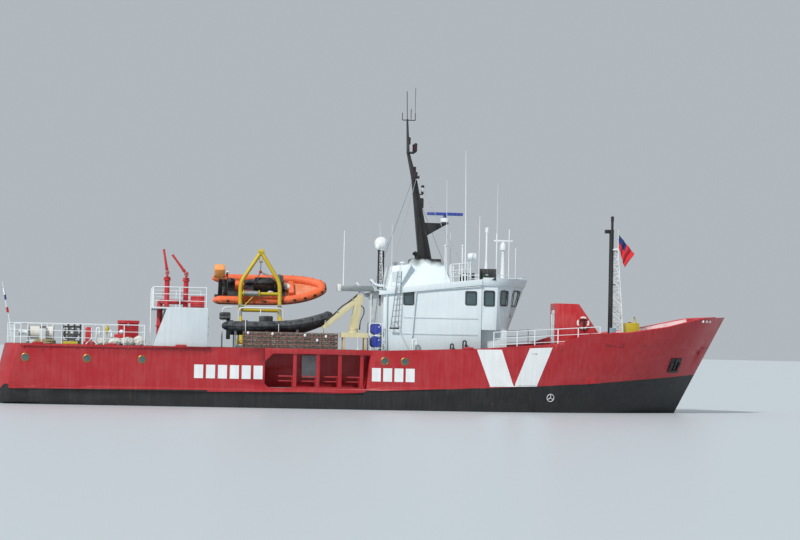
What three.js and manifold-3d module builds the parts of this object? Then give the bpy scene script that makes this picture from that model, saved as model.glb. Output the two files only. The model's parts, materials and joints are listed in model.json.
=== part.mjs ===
// Standby safety vessel, built at full size in millimetres.
// +X is forward, +Y is port, +Z is up; the origin is on the waterline amidships.
import * as THREE from 'three';
import { mergeVertices } from 'three/addons/utils/BufferGeometryUtils.js';
import Module from 'manifold-3d';

const wasm = await Module();
wasm.setup();

// Driving dimensions
const deckZ = 3060;
const foredeckZ = 3500;
const platformZ = 5050;
const stemX = 16434;
const draught = 3700;
const fit = 0.3;
const sides = [-1, 1];
const railHeight = 1050;
const railRadius = 24;
const postRadius = 36;

// Colours and finishes, one material for each kind of surface
function paint(colour, roughness = 0.5, metalness = 0) {
  return new THREE.MeshStandardMaterial({ color: colour, roughness, metalness });
}

const hullRed = paint('#a8242e', 0.45);
const houseWhite = paint('#dce6ea', 0.45);
const casingGrey = paint('#cdd9e1', 0.5);
const davitYellow = paint('#d2be1e', 0.45);
const craneCream = paint('#cdc49c', 0.55);
const fireRed = paint('#be1423', 0.4);
const boatOrange = paint('#f07048', 0.6);
const boatBlack = paint('#1e2830', 0.6);
const mastBlack = paint('#16181a', 0.6);
const rackBrown = paint('#7c5348', 0.8);
const drumBlue = paint('#1432a0', 0.4);
const galvanised = paint('#9aa0a2', 0.5, 0.6);
const bronze = paint('#a8813c', 0.35, 0.9);
const chrome = paint('#d8dadc', 0.15, 1);
const ropeBeige = paint('#b9ad8b', 0.95);
const flagRed = paint('#c81e2a', 0.9);

// Solids: closed three.js geometry in, joined and cut shapes out
function solid(geometry) {
  const bare = geometry.index ? geometry.toNonIndexed() : geometry.clone();
  for (const name of Object.keys(bare.attributes)) {
    if (name !== 'position') bare.deleteAttribute(name);
  }
  const merged = mergeVertices(bare, 1e-3);
  return new wasm.Manifold(new wasm.Mesh({
    numProp: 3,
    vertProperties: new Float32Array(merged.attributes.position.array),
    triVerts: new Uint32Array(merged.index.array),
  }));
}

function join(...pieces) {
  return pieces.flat().reduce((whole, piece) => whole.add(piece));
}

function cut(body, ...tools) {
  return tools.flat().reduce((rest, tool) => rest.subtract(tool), body);
}

function block(x0, x1, y0, y1, z0, z1) {
  const box = new THREE.BoxGeometry(Math.abs(x1 - x0), Math.abs(y1 - y0), Math.abs(z1 - z0));
  return solid(box.translate((x0 + x1) / 2, (y0 + y1) / 2, (z0 + z1) / 2));
}

// A straight round bar from a to b, or a tapered one when a second radius is given
function rod(a, b, radius, facets = 4, endRadius = radius) {
  const from = new THREE.Vector3(...a);
  const along = new THREE.Vector3(...b).sub(from);
  const bar = new THREE.CylinderGeometry(endRadius, radius, along.length(), facets);
  if (facets === 4) bar.rotateY(Math.PI / 4);
  const up = new THREE.Vector3(0, 1, 0);
  bar.applyQuaternion(new THREE.Quaternion().setFromUnitVectors(up, along.clone().normalize()));
  const middle = from.addScaledVector(along, 0.5);
  return solid(bar.translate(middle.x, middle.y, middle.z));
}

// Bars end to end along a chain of points
function pipe(points, radius, facets = 4) {
  return join(points.slice(1).map((point, i) => rod(points[i], point, radius, facets)));
}

function ball(centre, radius, facets = 8) {
  const sphere = new THREE.SphereGeometry(radius, facets, Math.max(3, facets / 2));
  return solid(sphere.rotateX(Math.PI / 2).translate(...centre));
}

// The same solid shifted by a small distance, to cut a neighbour with a running gap
function moved(body, dx, dy, dz) {
  const raw = body.getMesh();
  const copy = new THREE.BufferGeometry();
  copy.setAttribute('position', new THREE.BufferAttribute(new Float32Array(raw.vertProperties), 3));
  copy.setIndex(new THREE.BufferAttribute(new Uint32Array(raw.triVerts), 1));
  return solid(copy.translate(dx, dy, dz));
}

// A flat outline in the XZ plane, given thickness from y0 to y1
function sidePlate(outline, y0, y1) {
  const shape = new THREE.Shape(outline.map(([x, z]) => new THREE.Vector2(x, z)));
  const slab = new THREE.ExtrudeGeometry(shape, { depth: y1 - y0, bevelEnabled: false });
  return solid(slab.rotateX(Math.PI / 2).translate(0, y1, 0));
}

// A skin over rings of points that run the same way round; both end rings are closed by a fan
function loft(rings) {
  const count = rings[0].length;
  const faces = [];
  const put = (...corners) => corners.forEach((p) => faces.push(...p));
  for (let k = 1; k < rings.length; k += 1) {
    for (let i = 0; i < count; i += 1) {
      const j = (i + 1) % count;
      put(rings[k - 1][i], rings[k][i], rings[k][j]);
      put(rings[k - 1][i], rings[k][j], rings[k - 1][j]);
    }
  }
  const last = rings[rings.length - 1];
  for (let i = 1; i < count - 1; i += 1) {
    put(rings[0][0], rings[0][i], rings[0][i + 1]);
    put(last[0], last[i + 1], last[i]);
  }
  const skin = new THREE.BufferGeometry();
  skin.setAttribute('position', new THREE.Float32BufferAttribute(faces, 3));
  const body = solid(skin);
  if (body.volume() > 0) return body;
  return loft(rings.slice().reverse());
}

const vessel = new THREE.Group();

function add(name, body, material, place = null) {
  const raw = body.getMesh();
  const geometry = new THREE.BufferGeometry();
  geometry.setAttribute('position', new THREE.BufferAttribute(new Float32Array(raw.vertProperties), 3));
  geometry.setIndex(new THREE.BufferAttribute(new Uint32Array(raw.triVerts), 1));
  const mesh = new THREE.Mesh(geometry, material);
  mesh.name = name;
  if (place) {
    mesh.position.set(...place.position);
    mesh.rotation.set(...place.rotation);
  }
  vessel.add(mesh);
}

// Hull lines. Each station has its place, keel and sheer heights, and half breadths at six rows:
// keel, garboard, bilge, waterline, knuckle and sheer. rake shares in the stem's or transom's slope.
const transomRake = 690;
const stations = [
  { x: -20000, keel: -300, sheer: 3060, half: [90, 1500, 2400, 2750, 2880, 2900], aft: 1, fore: 0 },
  { x: -19300, keel: -560, sheer: 3060, half: [90, 2300, 3650, 4250, 4380, 4400], aft: 1, fore: 0 },
  { x: -17200, keel: -980, sheer: 3060, half: [90, 2500, 3850, 4330, 4400, 4400], aft: 0, fore: 0 },
  { x: -15000, keel: -1500, sheer: 3060, half: [100, 2500, 3950, 4380, 4400, 4400], aft: 0, fore: 0 },
  { x: -12500, keel: -3150, sheer: 3060, half: [130, 2550, 4050, 4400, 4400, 4400], aft: 0, fore: 0 },
  { x: -8000, keel: -3600, sheer: 3060, half: [200, 3000, 4200, 4400, 4400, 4400], aft: 0, fore: 0 },
  { x: 0, keel: -draught, sheer: 3060, half: [200, 3150, 4250, 4400, 4400, 4400], aft: 0, fore: 0 },
  { x: 5000, keel: -draught, sheer: 3270, half: [200, 2800, 3900, 4250, 4380, 4400], aft: 0, fore: 0 },
  { x: 8975, keel: -3650, sheer: 3600, half: [180, 2000, 3050, 3600, 3980, 4330], aft: 0, fore: 0.05 },
  { x: 10550, keel: -3600, sheer: 4180, half: [170, 1600, 2600, 3150, 3650, 4180], aft: 0, fore: 0.13 },
  { x: 12250, keel: -3480, sheer: 4240, half: [150, 1080, 1900, 2430, 3020, 3850], aft: 0, fore: 0.32 },
  { x: 13900, keel: -3200, sheer: 4600, half: [120, 580, 1120, 1540, 2120, 3250], aft: 0, fore: 0.57 },
  { x: 15300, keel: -2700, sheer: 5130, half: [90, 250, 500, 720, 1150, 2250], aft: 0, fore: 0.8 },
  { x: stemX, keel: -2100, sheer: 5250, half: [40, 45, 50, 55, 60, 110], aft: 0, fore: 1 },
];
const rowShare = [1, 0.72, 0.34];
const waterRow = 150;
const knuckleZ = 1250;
const deckStep = 9400;

// How far the stem has moved forward of its foot on the waterline at a height
function stemOffset(z) {
  return z * (z < 0 ? 0.42 : 0.521);
}

function stationRow(station) {
  const heights = [...rowShare.map((share) => station.keel * share), waterRow, knuckleZ, station.sheer];
  return heights.map((z, i) => {
    const lean = station.fore * stemOffset(z) + station.aft * transomRake * Math.max(0, z / deckZ);
    return { x: station.x + lean, y: station.half[i], z };
  });
}

const hullRows = stations.map(stationRow);

// Half breadth of the shell at a place, found between the stations and rows
function shellHalf(x, z) {
  const edges = hullRows.map((row) => {
    let i = 1;
    while (i < row.length - 1 && row[i].z < z) i += 1;
    const part = THREE.MathUtils.clamp((z - row[i - 1].z) / (row[i].z - row[i - 1].z), 0, 1);
    return {
      x: THREE.MathUtils.lerp(row[i - 1].x, row[i].x, part),
      y: THREE.MathUtils.lerp(row[i - 1].y, row[i].y, part),
    };
  });
  let k = 1;
  while (k < edges.length - 1 && edges[k].x < x) k += 1;
  const share = THREE.MathUtils.clamp((x - edges[k - 1].x) / (edges[k].x - edges[k - 1].x), 0, 1);
  return THREE.MathUtils.lerp(edges[k - 1].y, edges[k].y, share);
}

function sheerHeight(x) {
  const edge = hullRows.map((row) => row[row.length - 1]);
  let k = 1;
  while (k < edge.length - 1 && edge[k].x < x) k += 1;
  const share = THREE.MathUtils.clamp((x - edge[k - 1].x) / (edge[k].x - edge[k - 1].x), 0, 1);
  return THREE.MathUtils.lerp(edge[k - 1].z, edge[k].z, share);
}

function hullShell() {
  const faces = [];
  const put = (...corners) => corners.forEach((p) => faces.push(p.x, p.y, p.z));
  const flip = (p) => ({ x: p.x, y: -p.y, z: p.z });
  const rows = hullRows[0].length;
  for (let k = 1; k < hullRows.length; k += 1) {
    for (let i = 1; i < rows; i += 1) {
      const [a, b] = [hullRows[k - 1][i - 1], hullRows[k - 1][i]];
      const [c, d] = [hullRows[k][i - 1], hullRows[k][i]];
      put(a, d, c);
      put(a, b, d);
      put(flip(a), flip(c), flip(d));
      put(flip(a), flip(d), flip(b));
    }
    const [keelA, keelB] = [hullRows[k - 1][0], hullRows[k][0]];
    put(keelA, keelB, flip(keelB));
    put(keelA, flip(keelB), flip(keelA));
    const [deckA, deckB] = [hullRows[k - 1][rows - 1], hullRows[k][rows - 1]];
    put(deckA, flip(deckB), deckB);
    put(deckA, flip(deckA), flip(deckB));
  }
  for (const [row, turn] of [[hullRows[0], 1], [hullRows[hullRows.length - 1], -1]]) {
    for (let i = 1; i < rows; i += 1) {
      const corners = [row[i - 1], flip(row[i - 1]), flip(row[i]), row[i]];
      if (turn < 0) corners.reverse();
      put(corners[0], corners[1], corners[2]);
      put(corners[0], corners[2], corners[3]);
    }
  }
  const skin = new THREE.BufferGeometry();
  skin.setAttribute('position', new THREE.Float32BufferAttribute(faces, 3));
  return solid(skin);
}

// The open well behind the gunwale and bulwark, from x0 to x1 above a deck height; the wall
// thickens toward the stem, where the sides close in
function well(x0, x1, floor) {
  const steps = 7;
  const rings = [];
  for (let i = 0; i <= steps; i += 1) {
    const x = THREE.MathUtils.lerp(x0, x1, i / steps);
    const wall = 90 + Math.max(0, x - 15800) * 0.07;
    const low = Math.max(60, shellHalf(x, floor) - wall);
    const high = Math.max(60, shellHalf(x, sheerHeight(x)) - wall);
    const top = sheerHeight(x) + 400;
    rings.push([[x, -low, floor], [x, -high, top], [x, high, top], [x, low, floor]]);
  }
  return loft(rings);
}

// A bar that follows the shell at a height given for each place
function strake(side, places, proud, depth) {
  return loft(places.map(([x, z]) => {
    const low = shellHalf(x, z - depth / 2);
    const high = shellHalf(x, z + depth / 2);
    return [
      [x, side * (low - 60), z - depth / 2], [x, side * (low + proud), z - depth / 2],
      [x, side * (high + proud), z + depth / 2], [x, side * (high - 60), z + depth / 2],
    ];
  }));
}

// Opening in each side over the rescue zone, and the strip of deck that its frame carries above it
const zone = { aft: -6100, fore: -800, low: 1060, high: 2800, inboard: 2900, corner: 420 };
const zoneOutline = [
  [zone.aft, zone.low + 200], [zone.aft + 200, zone.low], [zone.fore - 60, zone.low],
  [zone.fore + 120, zone.high], [zone.fore + 120, deckZ + 200], [zone.aft, deckZ + 200],
];
const zoneStrip = [
  [zone.aft + fit, deckZ], [zone.aft + fit, zone.high - zone.corner], [zone.aft + zone.corner, zone.high],
  [zone.fore + 120 - fit, zone.high], [zone.fore + 120 - fit, deckZ],
];
const thruster = { x: 9300, z: -2350, radius: 430 };
const shaft = { z: -2460, gland: -15850, radius: 240 };
const rudderStock = { x: -17350, boss: -1250, radius: 110 };

function buildHull() {
  const skeg = sidePlate([
    [-11500, -3500], [-11500, -3690], [-18300, -3690], [-18300, -3480],
    [-15750, -3480], [-15750, -1000], [-11500, -1000],
  ], -150, 150);
  const sternTube = rod([-13000, 0, shaft.z], [shaft.gland, 0, shaft.z], shaft.radius, 12);
  const rudderTrunk = rod([rudderStock.x, 0, -700], [rudderStock.x, 0, rudderStock.boss], 200, 10);
  const waist = [[-19000, 830], [-9000, 830], [-1000, 860]];
  const forward = [[-700, 1000], [2400, 1110], [6900, 1320], [11000, 1550], [14500, 1850]];
  const deckEdge = [[-18450, 3000], [-13000, 3000], [-8900, 3000]];
  const fittings = sides.flatMap((side) => [
    strake(side, waist, 50, 90),
    strake(side, forward, 50, 80),
    strake(side, deckEdge, 90, 110),
    block(-7000, 4000, side * 2500, side * 2560, -3350, -2700),
  ]);
  const body = join(hullShell(), skeg, sternTube, rudderTrunk, fittings);
  const pod = join(
    rod([thruster.x, -170, thruster.z], [thruster.x, 90, thruster.z], 120, 10),
    block(thruster.x - 35, thruster.x + 35, -110, 60, thruster.z - 500, thruster.z),
  );
  return join(cut(
    body,
    well(30, deckStep, deckZ),
    well(deckStep, 17500, foredeckZ),
    sides.map((side) => sidePlate(zoneOutline, ...[side * zone.inboard, side * 5000].sort((a, b) => a - b))),
    rod([thruster.x, -6000, thruster.z], [thruster.x, 6000, thruster.z], thruster.radius, 16),
  ), pod);
}
const shell = buildHull();
const hullSeat = moved(shell, 0, 0, fit);

// The bulwark rises from the decks as a wall of its own, from just forward of the house's after end
const bulwarkAft = 400;
const aboveDecks = (gap) => sidePlate([
  [bulwarkAft + gap, deckZ + gap], [deckStep - gap, deckZ + gap], [deckStep - gap, foredeckZ + gap],
  [20000, foredeckZ + gap], [20000, 9000], [bulwarkAft + gap, 9000],
], -6000, 6000);
add('hull', cut(shell, aboveDecks(0)), hullRed);
add('bulwark', shell.intersect(aboveDecks(fit)), hullRed);

// Posts, sill and low benches that stand in each rescue zone opening, under the strip of deck
const zonePosts = [-4560, -3370, -2240, -1110];
const bench = { inner: 3860, outer: 3920, seat: 1620, rest: 1380, aft: 820, fore: 60 };
for (const side of sides) {
  const name = side < 0 ? 'rescue_frame_starboard' : 'rescue_frame_port';
  const outer = side * 4330;
  const inner = side * 4160;
  const posts = zonePosts.map((x) => block(x - 90, x + 90, inner, outer, zone.low + fit, zone.high + 60));
  const strip = sidePlate(zoneStrip, ...[side * (zone.inboard + fit), side * 4400].sort((a, b) => a - b));
  const sill = block(-4650, -1020, inner, outer, zone.low + fit, zone.low + 70);
  const [near, far] = [side * bench.inner, side * bench.outer];
  const benchTop = bench.seat + 60;
  const benches = zonePosts.map((x) => join(
    block(x - bench.aft, x - bench.fore, near, far, bench.seat, benchTop),
    block(x - bench.aft, x - bench.fore, near, far, bench.rest, bench.rest + 50),
    block(x - 130, x - bench.fore, near, side * 4200, bench.seat, benchTop),
    block(x - 130, x - bench.fore, near, side * (bench.outer + 10), zone.low + fit, benchTop),
  ));
  add(name, join(strip, posts, sill, benches), hullRed);
}

// A leaf hinged on the inboard wall of the starboard rescue zone
const hatch = { aft: -4080, fore: -3230, low: 1550, high: 2740, y: -2900 };
add('rescue_hatch', join(
  block(hatch.aft, hatch.fore, hatch.y - 60, hatch.y - fit, hatch.low, hatch.high),
  rod([hatch.aft, hatch.y - 40, hatch.low + 100], [hatch.aft, hatch.y - 40, hatch.high - 100], 25, 8),
), galvanised);

// Open rails: posts at each point, with level rails between them at shares of the height
function railRun(points, base, height, shares = [1, 0.66, 0.33]) {
  const bars = [];
  points.forEach(([x, y], i) => {
    const foot = typeof base === 'function' ? base(x) : base;
    bars.push(rod([x, y, foot], [x, y, foot + height], postRadius));
    if (i === 0) return;
    const [px, py] = points[i - 1];
    const footBefore = typeof base === 'function' ? base(px) : base;
    shares.forEach((share) => {
      const rise = height * share - 20;
      bars.push(rod([px, py, footBefore + rise], [x, y, foot + rise], railRadius));
    });
  });
  return join(bars);
}

// Rails around the after deck, following the cut corners of the stern
const sternEdge = [
  [-12250, -4300], [-14300, -4300], [-16400, -4300], [-18450, -4300], [-19180, -2820],
  [-19180, 0], [-19180, 2820], [-18450, 4300], [-16400, 4300], [-14300, 4300], [-12250, 4300],
];
const staff = { x: -19180, y: -200, z: 3900, radius: 26, leanX: -0.2045, leanZ: 0.9789 };
const staffAt = (d) => [staff.x + staff.leanX * d, staff.y, staff.z + staff.leanZ * d];
add('stern_rails', join(
  railRun(sternEdge, deckZ + fit, railHeight),
  rod(staffAt(0), staffAt(2300), staff.radius, 8),
  rod([staff.x, staff.y, staff.z], [staff.x, 0, staff.z], 24),
), houseWhite);

// The ensign is furled round its leaning staff
add('ensign', cut(
  rod(staffAt(750), staffAt(2050), 80, 8, 50),
  rod(staffAt(500), staffAt(2400), staff.radius + fit, 8),
), flagRed);

// Mooring winch on the after deck
add('stern_winch', join(
  block(-18300, -16800, -1900, -700, deckZ + fit, deckZ + 160),
  rod([-18150, -1300, 3620], [-16900, -1300, 3620], 330, 12),
  rod([-18260, -1300, 3620], [-18180, -1300, 3620], 470, 12),
  rod([-16980, -1300, 3620], [-16900, -1300, 3620], 470, 12),
  block(-17620, -17300, -1850, -750, deckZ + 100, 3950),
  rod([-18700, -1300, 3620], [-18150, -1300, 3620], 170, 10),
), houseWhite);

// Slatted crate, and the red locker further forward
add('deck_crate', join(
  block(-16500, -15500, -2100, -1100, deckZ + fit, 3250),
  [0, 1, 2, 3].map((i) => block(-16500 + i * 310, -16430 + i * 310, -2100, -1100, 3200, 4100)),
  block(-16500, -15500, -2100, -2040, 3500, 3600),
  block(-16500, -15500, -2100, -2040, 3900, 4000),
  block(-16500, -15500, -1160, -1100, 3500, 3600),
  block(-16500, -15500, -1160, -1100, 3900, 4000),
), boatBlack);
add('deck_locker', join(
  block(-13600, -12550, -2000, -1000, deckZ + fit, 4200),
  block(-13640, -12510, -2040, -960, 4200, 4340),
), fireRed);

// Mooring rope in a round coil on the deck
const coil = { x: -17300, y: -3100, inner: 330, outer: 560, height: 300 };
const coilOutline = [
  new THREE.Vector2(coil.inner, 0), new THREE.Vector2(coil.outer, 0),
  new THREE.Vector2(coil.outer, coil.height), new THREE.Vector2(coil.inner, coil.height),
  new THREE.Vector2(coil.inner, 0),
];
const coilRing = new THREE.LatheGeometry(coilOutline, 16);
coilRing.rotateX(Math.PI / 2);
add('mooring_coil', solid(coilRing.translate(coil.x, coil.y, deckZ + fit)), ropeBeige);

// Casings at each side under the fire monitor platform, raked at their after ends
const casingOutline = [[-11810, deckZ + fit], [-11130, platformZ], [-9050, platformZ], [-9050, deckZ + fit]];
const riser = { x: -11480, y: -2050, radius: 150 };
add('casing', cut(
  join(
    sidePlate(casingOutline, -4300, -2450),
    sidePlate(casingOutline, 2450, 4300),
    block(-11900, -9050, -4300, 4300, platformZ - 80, platformZ),
  ),
  rod([riser.x, riser.y, 4800], [riser.x, riser.y, 5200], riser.radius + 20, 12),
), casingGrey);

const platformEdge = [
  [-9150, -4200], [-10500, -4200], [-11840, -4200], [-11840, -1400], [-11840, 1400],
  [-11840, 4200], [-10500, 4200], [-9150, 4200],
];
const ladder = { x: -11960, sides: [-3950, -3550], firstRung: 3350, step: 300, rungs: 9 };
const ladderRungs = [];
for (let i = 0; i < ladder.rungs; i += 1) {
  const z = ladder.firstRung + i * ladder.step;
  ladderRungs.push(rod([ladder.x, ladder.sides[0], z], [ladder.x, ladder.sides[1], z], 18, 6));
}
add('platform_rails', join(
  railRun(platformEdge, platformZ + fit, railHeight),
  ladderRungs,
  ladder.sides.map((y) => rod([ladder.x, y, deckZ + fit], [ladder.x, y, 6000], 26, 6)),
  ladder.sides.map((y) => rod([ladder.x, y, 5900], [-11840, y, 6080], 24, 6)),
), houseWhite);

// Fire main: a riser, a header on the platform, two monitor pedestals and the hose reel on its branch
const monitors = [
  { name: 'a', x: -11150, y: -3000, tilt: 80, top: 6500 },
  { name: 'b', x: -10150, y: -1900, tilt: 53, top: 6500 },
];
add('fire_main', join(
  rod([riser.x, riser.y, deckZ + fit], [riser.x, riser.y, 5400], riser.radius, 12),
  rod([riser.x, riser.y, 5350], [monitors[1].x, monitors[1].y, 5350], 120, 10),
  rod([riser.x, riser.y, 5350], [monitors[0].x, monitors[0].y, 5350], 120, 10),
  monitors.map((m) => join(
    rod([m.x, m.y, platformZ + fit], [m.x, m.y, m.top - fit], 130, 12),
    rod([m.x, m.y, platformZ + fit], [m.x, m.y, platformZ + 40], 230, 12),
    rod([m.x, m.y, m.top - 50], [m.x, m.y, m.top - fit], 190, 12),
  )),
  rod([monitors[1].x, monitors[1].y, 5350], [-9600, -3700, 5350], 60, 8),
  [-4050, -3650].map((y) => block(-9950, -9250, y, y + 50, platformZ + fit, 5650)),
  block(-9950, -9250, -4050, -3600, platformZ + fit, platformZ + 60),
  rod([-9600, -4000, 5370], [-9600, -3650, 5370], 250, 12),
), fireRed);

for (const m of monitors) {
  const pivotZ = m.top + 330;
  const lean = THREE.MathUtils.degToRad(m.tilt);
  const along = [-Math.cos(lean), 0, Math.sin(lean)];
  const at = (d) => [m.x + along[0] * d, m.y, pivotZ + along[2] * d];
  add(`monitor_${m.name}_head`, join(
    rod([m.x, m.y, m.top], [m.x, m.y, m.top + 120], 170, 12),
    block(m.x - 60, m.x + 60, m.y - 200, m.y - 120, m.top + 60, pivotZ + 60),
    block(m.x - 60, m.x + 60, m.y + 120, m.y + 200, m.top + 60, pivotZ + 60),
    rod([m.x, m.y - 200, pivotZ], [m.x, m.y - 420, pivotZ], 45, 8),
  ), fireRed);
  add(`monitor_${m.name}_barrel`, join(
    rod([m.x, m.y - 120 + fit, pivotZ], [m.x, m.y + 120 - fit, pivotZ], 110, 12),
    rod(at(0), at(1050), 75, 10, 50),
    rod(at(1000), at(1230), 68, 10),
    rod(at(0), at(-150), 30, 6),
  ), fireRed);
}

// Davit for the rescue boat: an A frame hinged low on the deck that swings out to port
const davit = {
  aft: -7150, fore: -5030, y: 1000, hingeZ: 3360, kneeZ: 6550, apexX: -6060, apexY: 1600, apexZ: 8230,
};
const legLean = (davit.apexY - davit.y) / (davit.apexZ - davit.hingeZ);
const legY = (z) => davit.y + (z - davit.hingeZ) * legLean;
const ram = { foot: [-600, 3330], eye: 2000, bore: 90, rod: 52 };
const hang = { z: 7700, pin: 30, bore: 36, eye: 62 };
const ramEyeZ = davit.hingeZ + ram.eye * Math.cos(Math.atan(legLean));
const ramEye = [legY(ramEyeZ), ramEyeZ];
const davitLugs = [-100, 75];
add('davit_base', join(
  [davit.aft, davit.fore].map((x) => join(
    block(x - 300, x + 300, -1000, 1400, deckZ + fit, deckZ + 90),
    block(x - 190, x - 130, 800, 1200, deckZ + 50, davit.hingeZ + 130),
    block(x + 130, x + 190, 800, 1200, deckZ + 50, davit.hingeZ + 130),
    block(x - 190, x - 130, ram.foot[0] - 150, ram.foot[0] + 150, deckZ + 50, ram.foot[1] + 110),
    block(x + 130, x + 190, ram.foot[0] - 150, ram.foot[0] + 150, deckZ + 50, ram.foot[1] + 110),
    rod([x - 190, davit.y, davit.hingeZ], [x + 190, davit.y, davit.hingeZ], 45, 10),
    rod([x - 190, ...ram.foot], [x + 190, ...ram.foot], 40, 10),
  )),
  block(davit.aft + 250, davit.fore - 250, -200, 0, deckZ + fit, deckZ + 90),
), davitYellow);

function davitLeg(x) {
  const bar = join(
    rod([x, davit.y, davit.hingeZ], [x, legY(davit.kneeZ), davit.kneeZ], 115, 8),
    ball([x, legY(davit.kneeZ), davit.kneeZ], 118, 8),
    rod([x, legY(davit.kneeZ), davit.kneeZ], [davit.apexX, davit.apexY, davit.apexZ], 105, 8),
    rod([x - 130 + fit, davit.y, davit.hingeZ], [x + 130 - fit, davit.y, davit.hingeZ], 110, 10),
  );
  const bore = rod([x - 200, davit.y, davit.hingeZ], [x + 200, davit.y, davit.hingeZ], 50, 10);
  const lugs = davitLugs.map((shift) => block(
    x + shift, x + shift + 25, ramEye[0] - 270, ramEye[0] + 40, ramEye[1] - 70, ramEye[1] + 70,
  ));
  return join(cut(bar, bore), lugs);
}
const drumZ = 5960;
add('davit_frame', join(
  davitLeg(davit.aft), davitLeg(davit.fore),
  rod([davit.aft, legY(drumZ), drumZ], [davit.fore, legY(drumZ), drumZ], 90, 8),
  rod([-7000, legY(drumZ), drumZ], [-6120, legY(drumZ), drumZ], 190, 12),
  rod([davit.aft, legY(5080), 5080], [davit.fore, legY(5080), 5080], 110, 8),
  ball([davit.apexX, davit.apexY, davit.apexZ], 150, 8),
  davitLugs.map((shift) => davit.apexX + shift).map((x) => block(
    x, x + 25, davit.apexY - 60, davit.apexY + 60, hang.z - 60, davit.apexZ,
  )),
  rod([davit.apexX - 90, davit.apexY, hang.z], [davit.apexX + 90, davit.apexY, hang.z], hang.pin, 12),
), davitYellow);

// Two rams push the A frame; their barrels share a cross tube, and so do their rods
const eyeY = ramEye[0] - 195;
const ramAim = new THREE.Vector2(eyeY - ram.foot[0], ramEye[1] - ram.foot[1]);
const ramLength = ramAim.length();
ramAim.normalize();
const ramAt = (x, d) => [x, ram.foot[0] + ramAim.x * d, ram.foot[1] + ramAim.y * d];
const barrelEnd = 1750;
const davitFeet = [davit.aft, davit.fore];
add('davit_ram_barrels', cut(
  join(
    davitFeet.map((x) => rod(ramAt(x, 0), ramAt(x, barrelEnd), ram.bore, 12)),
    davitFeet.map((x) => rod([x - 130 + fit, ...ram.foot], [x + 130 - fit, ...ram.foot], 90, 10)),
    rod(ramAt(davit.aft, 900), ramAt(davit.fore, 900), 60, 8),
  ),
  davitFeet.map((x) => rod(ramAt(x, 150), ramAt(x, barrelEnd + 50), ram.rod + fit, 12)),
  davitFeet.map((x) => rod([x - 200, ...ram.foot], [x + 200, ...ram.foot], 45, 10)),
), davitYellow);
add('davit_ram_rods', join(
  davitFeet.map((x) => rod(ramAt(x, 700), ramAt(x, ramLength), ram.rod, 12)),
  davitFeet.map((x) => rod(
    [x - 75 + fit, ...ramAt(x, ramLength).slice(1)], [x + 75 - fit, ...ramAt(x, ramLength).slice(1)], 60, 10,
  )),
  rod(ramAt(davit.aft, ramLength - 220), ramAt(davit.fore, ramLength - 220), 30, 6),
), chrome);

// Inflatable boats: a tube that bends round the bow over a vee bottom
function collar(length, halfWidth, radius, rise, facets = 8) {
  const side = (s) => [
    [0, s * halfWidth, 0],
    [length * 0.3, s * halfWidth, 0],
    [length * 0.6, s * halfWidth * 0.98, rise * 0.15],
    [length * 0.8, s * halfWidth * 0.78, rise * 0.5],
    [length * 0.94, s * halfWidth * 0.36, rise * 0.9],
  ];
  const route = [...side(-1), [length - radius, 0, rise], ...side(1).reverse()];
  const rings = route.map((p, i) => {
    const before = new THREE.Vector3(...route[Math.max(0, i - 1)]);
    const after = new THREE.Vector3(...route[Math.min(route.length - 1, i + 1)]);
    const along = after.sub(before).normalize();
    const out = new THREE.Vector3().crossVectors(along, new THREE.Vector3(0, 0, 1)).normalize();
    const over = new THREE.Vector3().crossVectors(out, along);
    const ring = [];
    for (let f = 0; f < facets; f += 1) {
      const angle = ((f + 0.5) / facets) * Math.PI * 2;
      const spot = new THREE.Vector3(...p).addScaledVector(out, radius * Math.cos(angle));
      ring.push(spot.addScaledVector(over, radius * Math.sin(angle)).toArray());
    }
    return ring;
  });
  return loft(rings);
}

function veeBottom(start, end, halfWidth, depth, rise) {
  const cuts = [[0, 1, 0], [0.5, 1, 0], [0.75, 0.82, 0.25], [0.93, 0.35, 0.7]];
  return loft(cuts.map(([share, wide, up]) => {
    const x = THREE.MathUtils.lerp(start, end, share);
    const y = halfWidth * wide;
    const z = rise * up;
    const keel = z - depth * (1 - up * 0.7);
    return [[x, -y, z], [x, 0, keel], [x, y, z], [x, y * 0.9, z + 60], [x, -y * 0.9, z + 60]];
  }));
}

const boatHeel = THREE.MathUtils.degToRad(40);
const rescueBoat = { length: 6150, half: 950, tube: 235, rise: 260, aft: -8600, y: 2440, z: 6190 };
const boatPlace = { position: [rescueBoat.aft, rescueBoat.y, rescueBoat.z], rotation: [boatHeel, 0, 0] };
const boatTurn = new THREE.Matrix4().makeRotationX(boatHeel).setPosition(...boatPlace.position).invert();
const inBoat = (...point) => new THREE.Vector3(...point).applyMatrix4(boatTurn).toArray();
const liftingPoint = inBoat(davit.apexX, 1850, 7150);
const hangEnd = (x) => inBoat(davit.apexX + x, davit.apexY, hang.z);
const hangBar = (half, radius) => rod(hangEnd(-half), hangEnd(half), radius, 12);
add('rescue_boat', join(
  collar(rescueBoat.length, rescueBoat.half, rescueBoat.tube, rescueBoat.rise),
  veeBottom(520, rescueBoat.length - 250, 900, 560, 200),
  block(2200, 3500, -230, 230, 0, 620),
  block(3400, 3800, -330, 330, 0, 900),
  block(520, 640, -740, 740, -100, 420),
  cut(
    join(
      hangBar(75 - fit, hang.eye),
      rod(inBoat(davit.apexX, davit.apexY, hang.z - 45), liftingPoint, 30, 6),
    ),
    hangBar(100, hang.bore),
  ),
  ball(liftingPoint, 90, 8),
  rod(liftingPoint, [2300, 0, 580], 25, 6),
  rod(liftingPoint, [3300, 0, 580], 25, 6),
), boatOrange, boatPlace);
add('rescue_boat_motor', join(
  block(40, 620, -260, 260, 850, 1550),
  block(300, 520 - fit, -110, 110, -480, 860),
  block(120, 500, -120, 120, -640, -460),
), boatOrange, boatPlace);

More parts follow.
